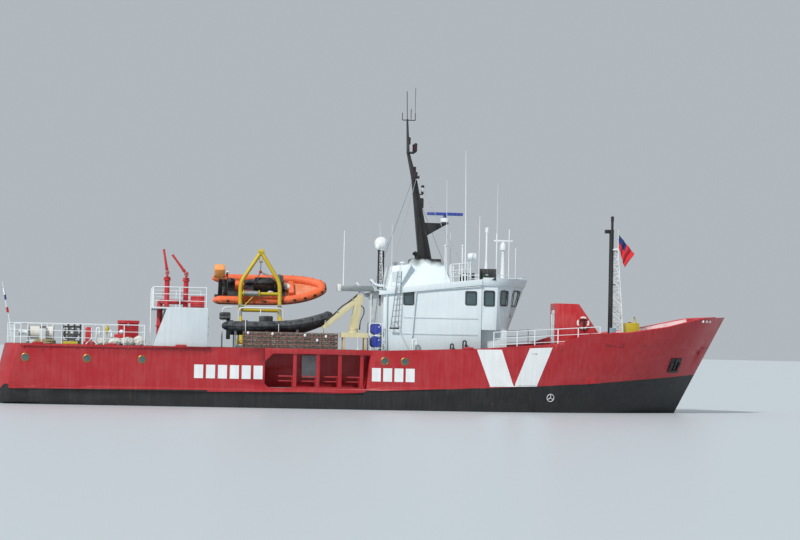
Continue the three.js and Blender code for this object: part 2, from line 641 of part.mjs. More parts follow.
// Dark workboat on its cradle by the starboard side
const workboat = { length: 5700, half: 720, tube: 250, rise: 620, aft: -8250, y: -2780, z: 4180 };
const workboatPlace = { position: [workboat.aft, workboat.y, workboat.z], rotation: [0, 0, 0] };
const workboatHull = join(
  collar(workboat.length, workboat.half, workboat.tube, workboat.rise),
  veeBottom(420, workboat.length - 200, 680, 470, 420),
  block(1900, 2600, -250, 250, 0, 550),
  block(420, 520, -600, 600, -100, 300),
);
add('workboat', workboatHull, boatBlack, workboatPlace);
add('workboat_motor', join(
  block(-160, 420 - fit, -200, 200, 230, 700),
  block(200, 420 - fit, -90, 90, -700, 300),
), boatBlack, workboatPlace);
const cradleX = [-7600, -6000, -4400];
add('workboat_cradle', cut(join(
  cradleX.map((x) => join(
    block(x - 60, x + 60, -3500, -2060, deckZ + fit, deckZ + 120),
    block(x - 60, x + 60, -3420, -3320, deckZ + 60, 4050),
    block(x - 60, x + 60, -2240, -2140, deckZ + 60, 4050),
  )),
  block(cradleX[0], cradleX[2], -3420, -3320, deckZ + fit, deckZ + 120),
  block(cradleX[0], cradleX[2], -2240, -2140, deckZ + fit, deckZ + 120),
), moved(workboatHull, workboat.aft, workboat.y, workboat.z - fit)), galvanised);

// White pipe guard inboard of the workboat
const guardY = -1400;
add('boat_guard', join(
  pipe([
    [-8200, guardY, deckZ + fit], [-8200, guardY, 4980], [-8080, guardY, 5130], [-7700, guardY, 5150],
  ], 38),
  pipe([
    [-7350, guardY, deckZ + fit], [-7350, guardY, 5000], [-7200, guardY, 5150],
    [-5150, guardY, 5150], [-5010, guardY, 5000], [-5010, guardY, deckZ + fit],
  ], 38),
  rod([-6200, guardY, deckZ + fit], [-6200, guardY, 5150], 30),
  rod([-8200, guardY, 4300], [-5010, guardY, 4300], 28),
), houseWhite);

// Rack at the deck edge that holds the rolled scramble nets
const rack = {
  aft: -7260, fore: -2380, out: -4400, inn: -4130, low: deckZ + fit, high: 3900, columns: 11, rows: 4,
};
const rackStep = (rack.fore - rack.aft) / rack.columns;
const rackRise = (rack.high - rack.low) / rack.rows;
const rackBar = 25;
const rackGaps = [];
for (let i = 0; i < rack.columns; i += 1) {
  for (let j = 0; j < rack.rows; j += 1) {
    const [x0, x1] = [rack.aft + i * rackStep + rackBar, rack.aft + (i + 1) * rackStep - rackBar];
    const [z0, z1] = [rack.low + j * rackRise + rackBar, rack.low + (j + 1) * rackRise - rackBar];
    rackGaps.push(block(x0, x1, rack.out - 50, rack.out + 90, z0, z1));
  }
}
const rackPanel = cut(block(rack.aft, rack.fore, rack.out, rack.out + 40, rack.low, rack.high), rackGaps);
const rollY = rack.out + 160;
add('net_rack', join(
  rackPanel,
  [0, 1, 2, 3].map((j) => {
    const z = rack.low + (j + 0.5) * rackRise;
    return rod([rack.aft, rollY, z], [rack.fore, rollY, z], 85, 8);
  }),
  [rack.aft, rack.fore - 40].map((x) => block(x, x + 40, rack.out, rack.inn, rack.low, rack.high)),
), rackBrown);

// Boat crane: stand, slewing column, luffing boom with its ram, and sliding extension
const crane = {
  x: -1550, y: -3900, standTop: 3950, turn: 4060, pivotX: -1300, pivotZ: 5750, cheek: 130, plate: 40,
  boomHalf: 150, boreHalf: 95, lugAlong: 240, lugOut: 205, foot: [-1660, 4290],
};
const boomDown = THREE.MathUtils.degToRad(-139);
const boomAt = (d, up = 0) => [
  crane.pivotX + Math.cos(boomDown) * d - Math.sin(boomDown) * up,
  crane.pivotZ + Math.sin(boomDown) * d + Math.cos(boomDown) * up,
];
add('crane_base', join(
  block(-2200, -800, -4200, -3350, 3700, crane.standTop),
  [-2100, -1000].flatMap((x) => [-4150, -3500].map((y) => block(x, x + 100, y, y + 100, deckZ + fit, 3750))),
  rod([crane.x, crane.y, 3900], [crane.x, crane.y, crane.turn], 260, 14),
), craneCream);
const cheekOutline = [
  [-1790, 4150], [-1330, 4150], [-1080, 5650], [-1130, 5900], [-1380, 5930], [-1480, 5600],
];
const craneSide = crane.cheek + crane.plate;
const craneBar = ([x, z], half, radius) => rod([x, crane.y - half, z], [x, crane.y + half, z], radius, 10);
add('crane_column', join(
  rod([crane.x, crane.y, crane.turn + fit], [crane.x, crane.y, 4200], 250, 14),
  sidePlate(cheekOutline, crane.y - craneSide, crane.y - crane.cheek),
  sidePlate(cheekOutline, crane.y + crane.cheek, crane.y + craneSide),
  sidePlate([[-1500, 4150], [-1330, 4150], [-1130, 5350], [-1330, 5350]], crane.y - 150, crane.y + 150),
  craneBar([crane.pivotX, crane.pivotZ], craneSide, 50),
  craneBar(crane.foot, craneSide, 40),
), craneCream);

// The boom's root has a pocket under it for the eye of the ram, between two lugs
const boomOutline = (from, to, low, high) => [
  boomAt(from, low), boomAt(to, low), boomAt(to, high), boomAt(from, high),
];
const lugOutline = [
  boomAt(crane.lugAlong - 150, 100), boomAt(crane.lugAlong + 150, 100),
  boomAt(crane.lugAlong + 65, crane.lugOut + 75), boomAt(crane.lugAlong - 65, crane.lugOut + 75),
];
add('crane_boom', join(
  cut(
    join(
      sidePlate(boomOutline(-130, 2200, -crane.boomHalf, crane.boomHalf), crane.y - 110, crane.y + 110),
      craneBar([crane.pivotX, crane.pivotZ], crane.cheek - fit, crane.boreHalf),
    ),
    craneBar([crane.pivotX, crane.pivotZ], craneSide, 56),
    sidePlate(boomOutline(500, 2300, -crane.boreHalf, crane.boreHalf), crane.y - 75, crane.y + 75),
    sidePlate(boomOutline(crane.lugAlong - 150, crane.lugAlong + 60, 90, 200), crane.y - 50, crane.y + 50),
  ),
  [-100, 50].map((y) => sidePlate(lugOutline, crane.y + y, crane.y + y + 50)),
), craneCream);
const hookAt = boomAt(2380);
add('crane_extension', join(
  sidePlate(boomOutline(560, 2420, -crane.boreHalf + fit, crane.boreHalf - fit), crane.y - 70, crane.y + 70),
  rod([hookAt[0], crane.y, hookAt[1]], [hookAt[0], crane.y, hookAt[1] - 230], 35, 8),
), craneCream);

// The boom's ram stands in the column and pushes on the lugs under the boom
const ramPin = boomAt(crane.lugAlong, crane.lugOut);
const liftAim = new THREE.Vector2(ramPin[0] - crane.foot[0], ramPin[1] - crane.foot[1]);
const liftLength = liftAim.length();
liftAim.normalize();
const liftAt = (d) => [crane.foot[0] + liftAim.x * d, crane.y, crane.foot[1] + liftAim.y * d];
add('crane_ram_barrel', cut(
  join(rod(liftAt(0), liftAt(liftLength * 0.82), 48, 10), craneBar(crane.foot, crane.cheek - fit, 70)),
  craneBar(crane.foot, craneSide, 45),
  rod(liftAt(80), liftAt(liftLength), 30 + fit, 10),
), craneCream);
add('crane_ram_rod', join(
  rod(liftAt(90), liftAt(liftLength), 30, 10),
  craneBar(ramPin, 50 - fit, 42),
), chrome);

// Superstructure: the house amidships, with its roof line rising forward
const house = { aft: 30, fore: 5180, half: 3600, floor: 4950, wall: 80 };
const roofZ = (x) => 6200 + x * 0.118;
const houseOutline = [
  [house.aft, deckZ + fit], [house.fore, deckZ + fit],
  [house.fore, roofZ(house.fore)], [house.aft, roofZ(house.aft)],
];
const houseRoom = [
  [house.aft + 80, house.floor], [house.fore + 50, house.floor],
  [house.fore + 50, roofZ(house.fore) - 60], [house.aft + 80, roofZ(house.aft) - 60],
];
const sideWindows = [[1080, 1600, 5480, 6130], [4330, 4900, 5540, 6230]];
const aftDoor = { y0: 1300, y1: 2050, low: 3200, high: 5000 };
add('house', cut(
  sidePlate(houseOutline, -house.half, house.half),
  sidePlate(houseRoom, -house.half + house.wall, house.half - house.wall),
  sideWindows.flatMap(([x0, x1, z0, z1]) => sides.map(
    (side) => block(x0, x1, side * 3400, side * 3700, z0, z1),
  )),
  [-2200, 1600].map((y) => block(-100, 300, y, y + 600, 5450, 6000)),
  block(-100, 90, aftDoor.y0 - 20, aftDoor.y1 + 20, aftDoor.low - 20, aftDoor.high + 20),
), houseWhite);
add('house_door', join(
  block(30, 90 - fit, aftDoor.y0, aftDoor.y1 - 10, aftDoor.low, aftDoor.high),
  rod([15, aftDoor.y1 - 10, 3400], [15, aftDoor.y1 - 10, 4800], 20, 8),
), houseWhite);

// Wheelhouse: a faceted bay with raked front windows, over the narrower lower house
const bayPlan = (x, grow) => [
  [x.aft, -3550 - grow], [x.mid, -3400 - grow], [x.fore, -2500 - grow],
  [x.nose, -800], [x.nose, 800], [x.fore, 2500 + grow], [x.mid, 3400 + grow], [x.aft, 3550 + grow],
];
const bayLow = { aft: house.fore + fit, mid: 6000, fore: 6780, nose: 7060 };
const bayHigh = { aft: house.fore + fit, mid: 6060, fore: 7060, nose: 8030 };
const bayBase = 4250;
const bayTop = 6560;
function bayRing(z, inset) {
  const share = (z - bayBase) / (6920 - bayBase);
  const x = {
    aft: inset ? house.fore - 60 : bayLow.aft,
    mid: THREE.MathUtils.lerp(bayLow.mid, bayHigh.mid, share) - inset * 0.6,
    fore: THREE.MathUtils.lerp(bayLow.fore, bayHigh.fore, share) - inset,
    nose: THREE.MathUtils.lerp(bayLow.nose, bayHigh.nose, share) - inset,
  };
  return bayPlan(x, -inset).map(([px, py]) => [px, py, z]);
}
function facetCut(x, y, turn, wide, z0, z1, lean = 0) {
  const box = new THREE.BoxGeometry(500, wide, z1 - z0);
  box.rotateY(lean).rotateZ(turn).translate(x, y, (z0 + z1) / 2);
  return solid(box);
}
const noseLean = 0.35;
add('wheelhouse', cut(
  join(
    loft([bayRing(bayBase, 0), bayRing(bayTop, 0)]),
    block(house.fore + fit, 6650, -3000, 3000, deckZ + fit, bayBase + 5),
  ),
  loft([bayRing(house.floor, 80), bayRing(bayTop - 60, 80)]),
  sides.flatMap((side) => [
    facetCut(5600, side * 3500, side * 1.38, 560, 5520, 6280),
    facetCut(6480, side * 2980, side * 0.86, 620, 5550, 6300, noseLean * 0.33),
    facetCut(7340, side * 1650, side * 0.4, 1150, 5560, 6330, noseLean * 0.66),
  ]),
  facetCut(7690, 0, 0, 1200, 5560, 6330, noseLean),
), houseWhite);

// Roof over both, with the flared bulwark round its fore part
const roofPlan = (grow) => [
  [house.aft - 250, -house.half - grow], [5200, -house.half - grow], [6050, -3450 - grow],
  [7050 + grow, -2550 - grow], [7950 + grow, -830], [7950 + grow, 830], [7050 + grow, 2550 + grow],
  [6050, 3450 + grow], [5200, house.half + grow], [house.aft - 250, house.half + grow],
];
const bayPlanOnly = (grow) => roofPlan(grow).slice(1, 9);
const coamingTop = 6980;
const deckTop = roofZ(house.fore) + 80;
const keepAhead = (limit, shift) => ([x, y]) => [Math.max(x + shift, limit), y];
const ringAt = (grow, shift, limit, z) => bayPlanOnly(grow)
  .map(keepAhead(limit, shift))
  .map(([x, y]) => [x, y, z]);
const fascia = { out: 110, drop: 230, aft: -220 };
const bridgeRoof = join(
  sidePlate([
    [fascia.aft, roofZ(fascia.aft) + fit], [5300, roofZ(5300) + fit], [5300, deckTop],
    [house.fore, deckTop], [fascia.aft, roofZ(fascia.aft) + 80],
  ], -house.half - 60, house.half + 60),
  sides.map((side) => sidePlate([
    [fascia.aft, roofZ(fascia.aft) - fascia.drop], [house.fore, roofZ(house.fore) - fascia.drop],
    [house.fore, deckTop], [fascia.aft, roofZ(fascia.aft) + 80],
  ], ...[side * (house.half + fit), side * (house.half + fascia.out)].sort((a, b) => a - b))),
  cut(
    loft([ringAt(20, -30, house.fore + fit, bayTop + fit), ringAt(110, 20, house.fore + fit, coamingTop)]),
    loft([ringAt(-60, -100, 5100, deckTop - 20), ringAt(50, -60, 5100, coamingTop + 60)]),
  ),
);
const roofSeatCut = moved(bridgeRoof, 0, 0, fit);
add('bridge_roof', bridgeRoof, houseWhite);

// Console and helm chair behind the front windows
add('bridge_console', join(
  block(6150, 6600, -1900, 1900, house.floor + fit, 5600),
  block(6100, 6250, -1900, 1900, 5500, 5800),
  block(5300, 6200, -250, 250, house.floor + fit, house.floor + 60),
  rod([5600, 0, house.floor + 40], [5600, 0, 5450], 60, 8),
  block(5350, 5850, -260, 260, 5400, 5520),
  block(5300, 5400, -250, 250, 5450, 6150),
), mastBlack);

// Funnel and the vent housing aft of it
const funnelTop = 8000;
const ventTop = 7550;
function tapered(low, high, z0, z1) {
  const ring = ([x0, x1, half], z) => [
    [x0, -half, z(x0)], [x1, -half, z(x1)], [x1, half, z(x1)], [x0, half, z(x0)],
  ];
  return loft([ring(low, z0), ring(high, z1)]);
}
const roofSeat = (x) => roofZ(x) + 60;
add('funnel', cut(join(
  tapered([1160, 3910, 1300], [1850, 3400, 700], roofSeat, () => funnelTop),
  tapered([375, 1080, 1500], [700, 1780, 1250], roofSeat, (x) => ventTop + (x - 700) * 0.118),
), roofSeatCut), houseWhite);

// Radar scanners turn on top of their gearboxes; each bar lies along the ship here
const mainRadar = { x: 3670, turn: 10280, half: 980, neck: 140, barHalf: 60, bar: 120 };
const foreRadar = { x: 6880, turn: 8950, half: 520, neck: 90, barHalf: 50, bar: 100 };
function scanner(radar, radius) {
  const bar = radar.turn + radar.neck;
  return join(
    rod([radar.x, 0, radar.turn + fit], [radar.x, 0, bar], radius, 12),
    block(radar.x - radar.half, radar.x + radar.half, -radar.barHalf, radar.barHalf, bar, bar + radar.bar),
  );
}

// Raked black mast on the funnel top
const mastRake = [[2620, 8000 + fit, 340], [1960, 12250, 140], [1600, 13700, 80], [1520, 15500, 45]];
add('mast', join(
  loft(mastRake.map(([x, z, half]) => {
    const wide = half * 0.8;
    return [[x - half, -wide, z], [x + half, -wide, z], [x + half, wide, z], [x - half, wide, z]];
  })),
  sidePlate([
    [2250, 9150], [2500, 9150], [mainRadar.x + 70, 9880], [mainRadar.x + 70, 9960], [2250, 9960],
  ], -60, 60),
  block(mainRadar.x - 180, mainRadar.x + 180, -160, 160, 9900, 9980),
  rod([mainRadar.x, 0, 9950], [mainRadar.x, 0, mainRadar.turn], 150, 12),
  rod([1250, 0, 15450], [1950, 0, 15450], 25, 6),
  rod([1250, 0, 15450], [1250, 0, 15850], 22, 6),
  rod([1950, 0, 15450], [1950, 0, 15850], 22, 6),
  rod([1520, 0, 15400], [1480, 0, 17000], 22, 6),
  rod([1600, -400, 13700], [1600, 400, 13700], 45, 6),
  rod([1960, -900, 12250], [1960, 900, 12250], 45, 6),
), mastBlack);
add('radar_scanner_main', scanner(mainRadar, 90), drumBlue);

// Satellite dome on its black lattice post
const domePost = { x: 190, y: -600, half: 130 };
const domeLegs = [[-1, -1], [1, -1], [1, 1], [-1, 1]].map(([i, j]) => {
  const [x, y] = [domePost.x + i * domePost.half, domePost.y + j * domePost.half];
  return rod([x, y, roofSeat(x)], [x, y, 8380], 30);
});
add('satellite_dome', cut(join(
  domeLegs,
  [6900, 7400, 7900, 8340].map((z) => block(70, 310, -720, -480, z, z + 40)),
  rod([domePost.x, domePost.y, 8340], [domePost.x, domePost.y, 8520], 90, 10),
  ball([domePost.x, domePost.y, 8740], 375, 12),
), roofSeatCut), houseWhite);

// Pedestal of the forward radar with its turning scanner
const radarFoot = deckTop - 20 + fit;
add('radar_pedestal', join(
  rod([foreRadar.x, 0, radarFoot], [foreRadar.x, 0, 8700], 130, 10, 95),
  rod([foreRadar.x, 0, radarFoot], [foreRadar.x, 0, 6960], 300, 10),
  rod([foreRadar.x, 0, 8600], [foreRadar.x, 0, foreRadar.turn], 190, 12, 150),
), houseWhite);
add('radar_scanner_forward', scanner(foreRadar, 70), houseWhite);

// Rails on the bridge roof, with the searchlight and light mast that stand among them
const monkeyEdge = [[4450, -3450], [3520, -3450], [3990, -1400], [3990, 1400], [3520, 3450], [4450, 3450]];
const lightMast = { x: 5580, y: -2400 };
add('bridge_rails', cut(join(
  railRun(monkeyEdge, roofSeat, 970),
  rod([4890, -1500, roofSeat(4890)], [4890, -1500, 7960], 60, 8),
  rod([4890, -1500, 7100], [3990, -1400, 7300], 28, 6),
  rod([4710, -1500, 8130], [5140, -1500, 8130], 210, 12),
  rod([lightMast.x, lightMast.y, radarFoot], [lightMast.x, lightMast.y, 9450], 60, 8),
  rod([lightMast.x, lightMast.y, 7150], [4890, -1500, 7150], 28, 6),
  rod([lightMast.x, -2600, 9380], [lightMast.x, -2200, 9380], 30, 6),
), roofSeatCut), houseWhite);

// Grey beam aft of the house with its floodlight, and its posts to the deck
add('gantry', join(
  block(-1980, -220 - fit, -1350, -1050, 6160, 6460),
  block(-2180, -1980, -1380, -1020, 6120, 6520),
  rod([-1850, -1200, 6450], [-1850, -1200, 9350], 40, 8),
  [-1000, -350].map((x) => rod([x, -1200, deckZ + fit], [x, -1200, 6200], 45, 6)),
), galvanised);

// Rack of blue drums by the house
const drumEnds = [-3850, -3000];
add('drum_rack', join(
  railRun([[house.aft - 60, -3870], [-700, -3870], [-700, -2980]], deckZ + fit, 1420, [1, 0.55, 0.1]),
  railRun([[-700, -2980], [-30, -2980]], deckZ + fit, 1420, [0.55, 0.1]),
  [3500, 4180].map((z) => rod([-360, drumEnds[0], z], [-360, drumEnds[1], z], 290, 12)),
  rod([-360, -3870, 3180], [-360, -2980, 3180], 40, 6),
  rod([-360, -3870, 3840], [-360, -2980, 3840], 60, 6),
), drumBlue);

// Companion house on the foredeck with a sloping fore side, and its door
add('companion', cut(
  sidePlate([
    [9670, foredeckZ + fit], [9670, 5790], [10950, 5780], [12300, 3880], [12300, foredeckZ + fit],
  ], -750, 750),
  block(9620, 9720, -400, 400, 3650, 5450),
), fireRed);
add('companion_door', join(
  block(9670, 9720 - fit, -380, 370, 3670, 5430),
  rod([9655, 370, 3900], [9655, 370, 5200], 18, 8),
), fireRed);

// Foremast: a tapered white lattice column with the dark pole behind it
const flagStaff = { x: 13205, radius: 22 };
const flagEdge = flagStaff.x + flagStaff.radius * Math.SQRT1_2 + fit;
const lattice = { x: 13350, foot: foredeckZ + 20, top: 8850, low: 380, high: 175, lean: 270, bays: 6 };
const latticeCorner = (i, z) => {
  const share = (z - lattice.foot) / (lattice.top - lattice.foot);
  const reach = THREE.MathUtils.lerp(lattice.low, lattice.high, share);
  const turn = ((i % 3) * 2 * Math.PI) / 3 + Math.PI / 3;
  return [lattice.x - lattice.lean * share + reach * Math.cos(turn), reach * Math.sin(turn), z];
};
const latticeLeg = (i) => rod(latticeCorner(i, lattice.foot), latticeCorner(i, lattice.top), 34);
const latticeBars = [0, 1, 2].map(latticeLeg);
const bayHeight = (lattice.top - lattice.foot) / lattice.bays;
for (let bay = 0; bay < lattice.bays; bay += 1) {
  for (let i = 0; i < 3; i += 1) {
    const low = lattice.foot + bay * bayHeight;
    const odd = bay % 2;
    latticeBars.push(rod(latticeCorner(i + odd, low), latticeCorner(i + 1 - odd, low + bayHeight), 22));
  }
}
add('foremast', join(
  latticeBars,
  block(12700, 13600, -380, 380, foredeckZ + fit, foredeckZ + 60),
  block(12790, 12990, -300, 300, foredeckZ + 40, 4540),
  block(12890, 13230, -140, 140, 8745, 8812),
  rod([12830, 0, foredeckZ + fit], [12830, 0, 9860], 125, 8),
  rod([12860, 0, 9800], [12860, 0, 10600], 70, 8),
  [3900, 5400, 6900, 8700].map((z) => rod([12830, 0, z], [13150, 0, z], 30, 6)),
  rod([flagStaff.x, 0, 8700], [flagStaff.x, 0, 9900], flagStaff.radius),
), houseWhite);
add('bow_flag', sidePlate([
  [flagEdge, 9600], [flagEdge, 8880], [13330, 8100], [13560, 7830], [13900, 8150], [14110, 8560], [13700, 9100],
], -90, 90), flagRed);

// Windlass, and the yellow tank in its lifting frame
add('windlass', join(
  block(15300, 16200, -900, 900, foredeckZ + fit, foredeckZ + 120),
  rod([15700, -1150, 3950], [15700, 1150, 3950], 150, 12),
  [-600, 600].map((y) => rod([15700, y - 160, 3950], [15700, y + 160, 3950], 300, 12)),
  block(15500, 16000, -250, 250, 3600, 4350),
), galvanised);
add('foredeck_tank', join(
  block(13640, 14330, -550, 550, 4200, 4830),
  [13660, 14210].flatMap((x) => [-500, 400].map((y) => block(x, x + 100, y, y + 100, foredeckZ + fit, 4250))),
  rod([14040, 0, 4800], [14170, 0, 5130], 25, 6),
  rod([14300, 0, 4800], [14170, 0, 5130], 25, 6),
  ball([14170, 0, 5130], 40, 6),
), davitYellow);

// Rails on the gunwale beside the wheelhouse and along to the foredeck
const railPlaces = [5740, 6970, 7900, 9130, 10220, 11410];
const railTop = (i) => THREE.MathUtils.lerp(4150, 4560, i / (railPlaces.length - 1));
const railLevel = (i, share) => THREE.MathUtils.lerp(sheerHeight(railPlaces[i]), railTop(i), share) - 20;
for (const side of sides) {
  const name = side < 0 ? 'fore_rails_starboard' : 'fore_rails_port';
  const spots = railPlaces.map((x) => [x, side * (shellHalf(x, sheerHeight(x)) - 45)]);
  const bars = spots.map(([x, y], i) => rod([x, y, sheerHeight(x) - 40], [x, y, railTop(i)], postRadius));
  for (let i = 1; i < spots.length; i += 1) {
    for (const share of [1, 0.5]) {
      const before = [...spots[i - 1], railLevel(i - 1, share)];
      bars.push(rod(before, [...spots[i], railLevel(i, share)], railRadius));
    }
  }
  add(name, cut(join(bars), hullSeat), houseWhite);
}

// Oval blades round a hub; those of the propeller turn about X and the thruster's about Y
function blades(count, hubAt, inner, outer, width, thick, pitch, aboutY = false) {
  const list = [];
  for (let i = 0; i < count; i += 1) {
    const oval = new THREE.Shape();
    oval.absellipse(0, (inner + outer) / 2, width / 2, (outer - inner) / 2, 0, Math.PI * 2);
    const leaf = new THREE.ExtrudeGeometry(oval, { depth: thick, bevelEnabled: false, curveSegments: 5 });
    leaf.translate(0, 0, -thick / 2).rotateY(Math.PI / 2 - pitch);
    leaf.rotateX((i / count) * Math.PI * 2);
    if (aboutY) leaf.rotateZ(Math.PI / 2);
    list.push(solid(leaf.translate(...hubAt)));
  }
  return list;
}
const screwX = -16080;
add('propeller', join(
  rod([shaft.gland - fit, 0, shaft.z], [-16330, 0, shaft.z], 190, 12, 120),
  blades(4, [screwX, 0, shaft.z], 100, 900, 560, 50, 0.62),
), bronze);
add('thruster_fan', join(
  rod([thruster.x, 90 + fit, thruster.z], [thruster.x, 330, thruster.z], 110, 12, 60),
  blades(4, [thruster.x, 200, thruster.z], 60, 400, 240, 30, 0.7, true),
), bronze);
add('rudder', join(
  sidePlate([[-16800, -3380], [-16800, -1420], [-18350, -1420], [-18350, -3380]], -80, 80),
  rod([rudderStock.x, 0, -1500], [rudderStock.x, 0, rudderStock.boss - fit], rudderStock.radius, 12),
  rod([rudderStock.x, 0, -3480 + fit], [rudderStock.x, 0, -3300], 90, 12),
), hullRed);

export default vessel;
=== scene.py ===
"""Dresses the standby safety vessel in its paint, boats, rails and rigging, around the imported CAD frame.

Everything is in metres: +X runs to the bow, +Y to port, +Z up, and the water is at Z = 0.
"""

import json
import math

import bpy
from mathutils import Matrix, Vector, noise

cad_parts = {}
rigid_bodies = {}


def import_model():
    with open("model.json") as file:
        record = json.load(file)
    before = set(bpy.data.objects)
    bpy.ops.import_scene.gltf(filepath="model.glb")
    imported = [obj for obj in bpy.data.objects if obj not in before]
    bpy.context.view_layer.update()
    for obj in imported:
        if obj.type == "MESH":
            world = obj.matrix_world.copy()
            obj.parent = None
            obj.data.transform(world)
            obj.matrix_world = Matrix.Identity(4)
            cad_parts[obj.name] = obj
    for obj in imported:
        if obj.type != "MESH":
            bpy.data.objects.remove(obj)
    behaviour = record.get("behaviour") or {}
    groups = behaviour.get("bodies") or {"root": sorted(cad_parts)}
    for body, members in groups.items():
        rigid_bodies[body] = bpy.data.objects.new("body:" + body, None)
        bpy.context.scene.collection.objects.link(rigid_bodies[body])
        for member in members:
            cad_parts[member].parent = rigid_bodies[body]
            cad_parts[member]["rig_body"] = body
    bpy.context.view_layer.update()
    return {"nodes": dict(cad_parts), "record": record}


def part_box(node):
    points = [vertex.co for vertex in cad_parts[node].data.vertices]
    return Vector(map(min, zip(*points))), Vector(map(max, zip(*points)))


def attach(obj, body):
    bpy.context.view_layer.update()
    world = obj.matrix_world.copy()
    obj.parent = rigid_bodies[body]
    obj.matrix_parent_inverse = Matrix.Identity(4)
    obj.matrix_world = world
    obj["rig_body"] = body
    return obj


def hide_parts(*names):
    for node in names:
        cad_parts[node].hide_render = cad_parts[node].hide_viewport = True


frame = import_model()

# Viewpoint: a long lens held low over the water off the starboard side, turned a little
# towards the bow and tipped a degree, as the photograph was taken.
camera_place = Vector((-13.267, -116.932, 3.371))
heading = math.radians(7.1)
tilt = math.radians(1.952)
lean = 0.0215
ahead = Vector((math.sin(heading) * math.cos(tilt), math.cos(heading) * math.cos(tilt), math.sin(tilt)))
level = Vector((math.cos(heading), -math.sin(heading), 0))
upright = level.cross(ahead)
across = level * math.cos(lean) + upright * math.sin(lean)
over = upright * math.cos(lean) - level * math.sin(lean)
bpy.ops.object.camera_add()
camera = bpy.context.object
camera.name = "harbour_camera"
camera.matrix_world = Matrix((
    (across.x, over.x, -ahead.x, camera_place.x),
    (across.y, over.y, -ahead.y, camera_place.y),
    (across.z, over.z, -ahead.z, camera_place.z),
    (0, 0, 0, 1),
))
camera.data.sensor_width = 36
camera.data.lens = 99
camera.data.clip_end = 2000
bpy.context.scene.camera = camera
bpy.context.scene.view_settings.view_transform = "Standard"

# Studio light: one broad key from high on the after quarter, where the sun stood, and a pale
# room all round that fills the shaded bow.
bpy.ops.object.light_add(type="SUN", rotation=(math.radians(48), 0, math.radians(-38)))
key_light = bpy.context.object
key_light.name = "key_light"
key_light.data.energy = 2.9
key_light.data.angle = math.radians(6)
key_light.data.color = (1, 0.965, 0.91)
room = bpy.data.worlds.new("pale_room")
bpy.context.scene.world = room
room.use_nodes = True
room.node_tree.nodes["Background"].inputs["Color"].default_value = (0.80, 0.87, 0.93, 1)
room.node_tree.nodes["Background"].inputs["Strength"].default_value = 0.55


# The floor lies at the waterline, where the ship's underwater body passes through it. It is a
# plain pale sheet with a faint satin, like calm water.


def linear(colour):
    """An sRGB hex colour as linear red, green, blue and alpha."""
    steps = [int(colour[i : i + 2], 16) / 255 for i in (1, 3, 5)]
    return (*[s / 12.92 if s <= 0.04045 else ((s + 0.055) / 1.055) ** 2.4 for s in steps], 1)


def add_node(tree, kind, inputs=(), feeds=None, output=0, **settings):
    """Adds one node with its settings, sets or links its inputs, and may feed one socket."""
    node = tree.nodes.new(kind)
    for name, value in settings.items():
        setattr(node, name, value)
    for key, value in dict(inputs).items():
        if isinstance(value, bpy.types.NodeSocket):
            tree.links.new(value, node.inputs[key])
        else:
            node.inputs[key].default_value = value
    if feeds:
        tree.links.new(node.outputs[output], feeds)
    return node


def new_material(name, colour, roughness=0.5, metallic=0, **sockets):
    """A Principled material with its plain values set on the shader's own sockets."""
    material = bpy.data.materials.new(name)
    material.use_nodes = True
    shader = material.node_tree.nodes["Principled BSDF"]
    shader.inputs["Base Color"].default_value = linear(colour)
    shader.inputs["Roughness"].default_value = roughness
    shader.inputs["Metallic"].default_value = metallic
    for key, value in sockets.items():
        shader.inputs[key.replace("_", " ")].default_value = value
    return material, material.node_tree, shader


bpy.ops.mesh.primitive_plane_add(size=1600, location=(0, 0, 0))
floor = bpy.context.object
floor.name = "studio_floor"
floor_paint, floor_tree, floor_shader = new_material("studio_floor_sheet", "#c9d3da", 0.35)
floor_grain = add_node(floor_tree, "ShaderNodeTexNoise", {"Scale": 0.6, "Detail": 3})
add_node(floor_tree, "ShaderNodeBump", {"Height": floor_grain.outputs["Fac"], "Strength": 0.05},
         feeds=floor_shader.inputs["Normal"])
floor.data.materials.append(floor_paint)


# Mooring rope on the after deck: eight-strand polyester, 50 mm thick and 50 m long, flaked down
# in a round coil. Sun-bleached fibre gives it a dull beige.


def pick(*objects):
    """Makes these objects the only selected ones, the first of them active."""
    bpy.ops.object.select_all(action="DESELECT")
    for piece in objects:
        piece.select_set(True)
    bpy.context.view_layer.objects.active = objects[0]


def settle(piece, slot, *replaced, body="vessel"):
    """Bakes a piece's place into its mesh, then ties it to its body and hides the replaced nodes; the slot
    is not used.
    """
    pick(piece)
    bpy.ops.object.transform_apply(location=True, rotation=True, scale=True)
    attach(piece, body)
    if replaced:
        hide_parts(*replaced)
    return piece


def round_bars(name, runs, thick, sides):
    """Ropes or bars as one curve; each run is its points and its share of the thickness, one or many."""
    curve = bpy.data.curves.new(name, "CURVE")
    curve.dimensions = "3D"
    curve.bevel_depth = thick
    curve.bevel_resolution = sides
    curve.use_fill_caps = True
    for points, share in runs:
        spline = curve.splines.new("POLY")
        spline.points.add(len(points) - 1)
        for k, (place, point) in enumerate(zip(spline.points, points)):
            place.co = (*point, 1)
            place.radius = share[k] if isinstance(share, (list, tuple)) else share
    piece = bpy.data.objects.new(name, curve)
    bpy.context.collection.objects.link(piece)
    return piece


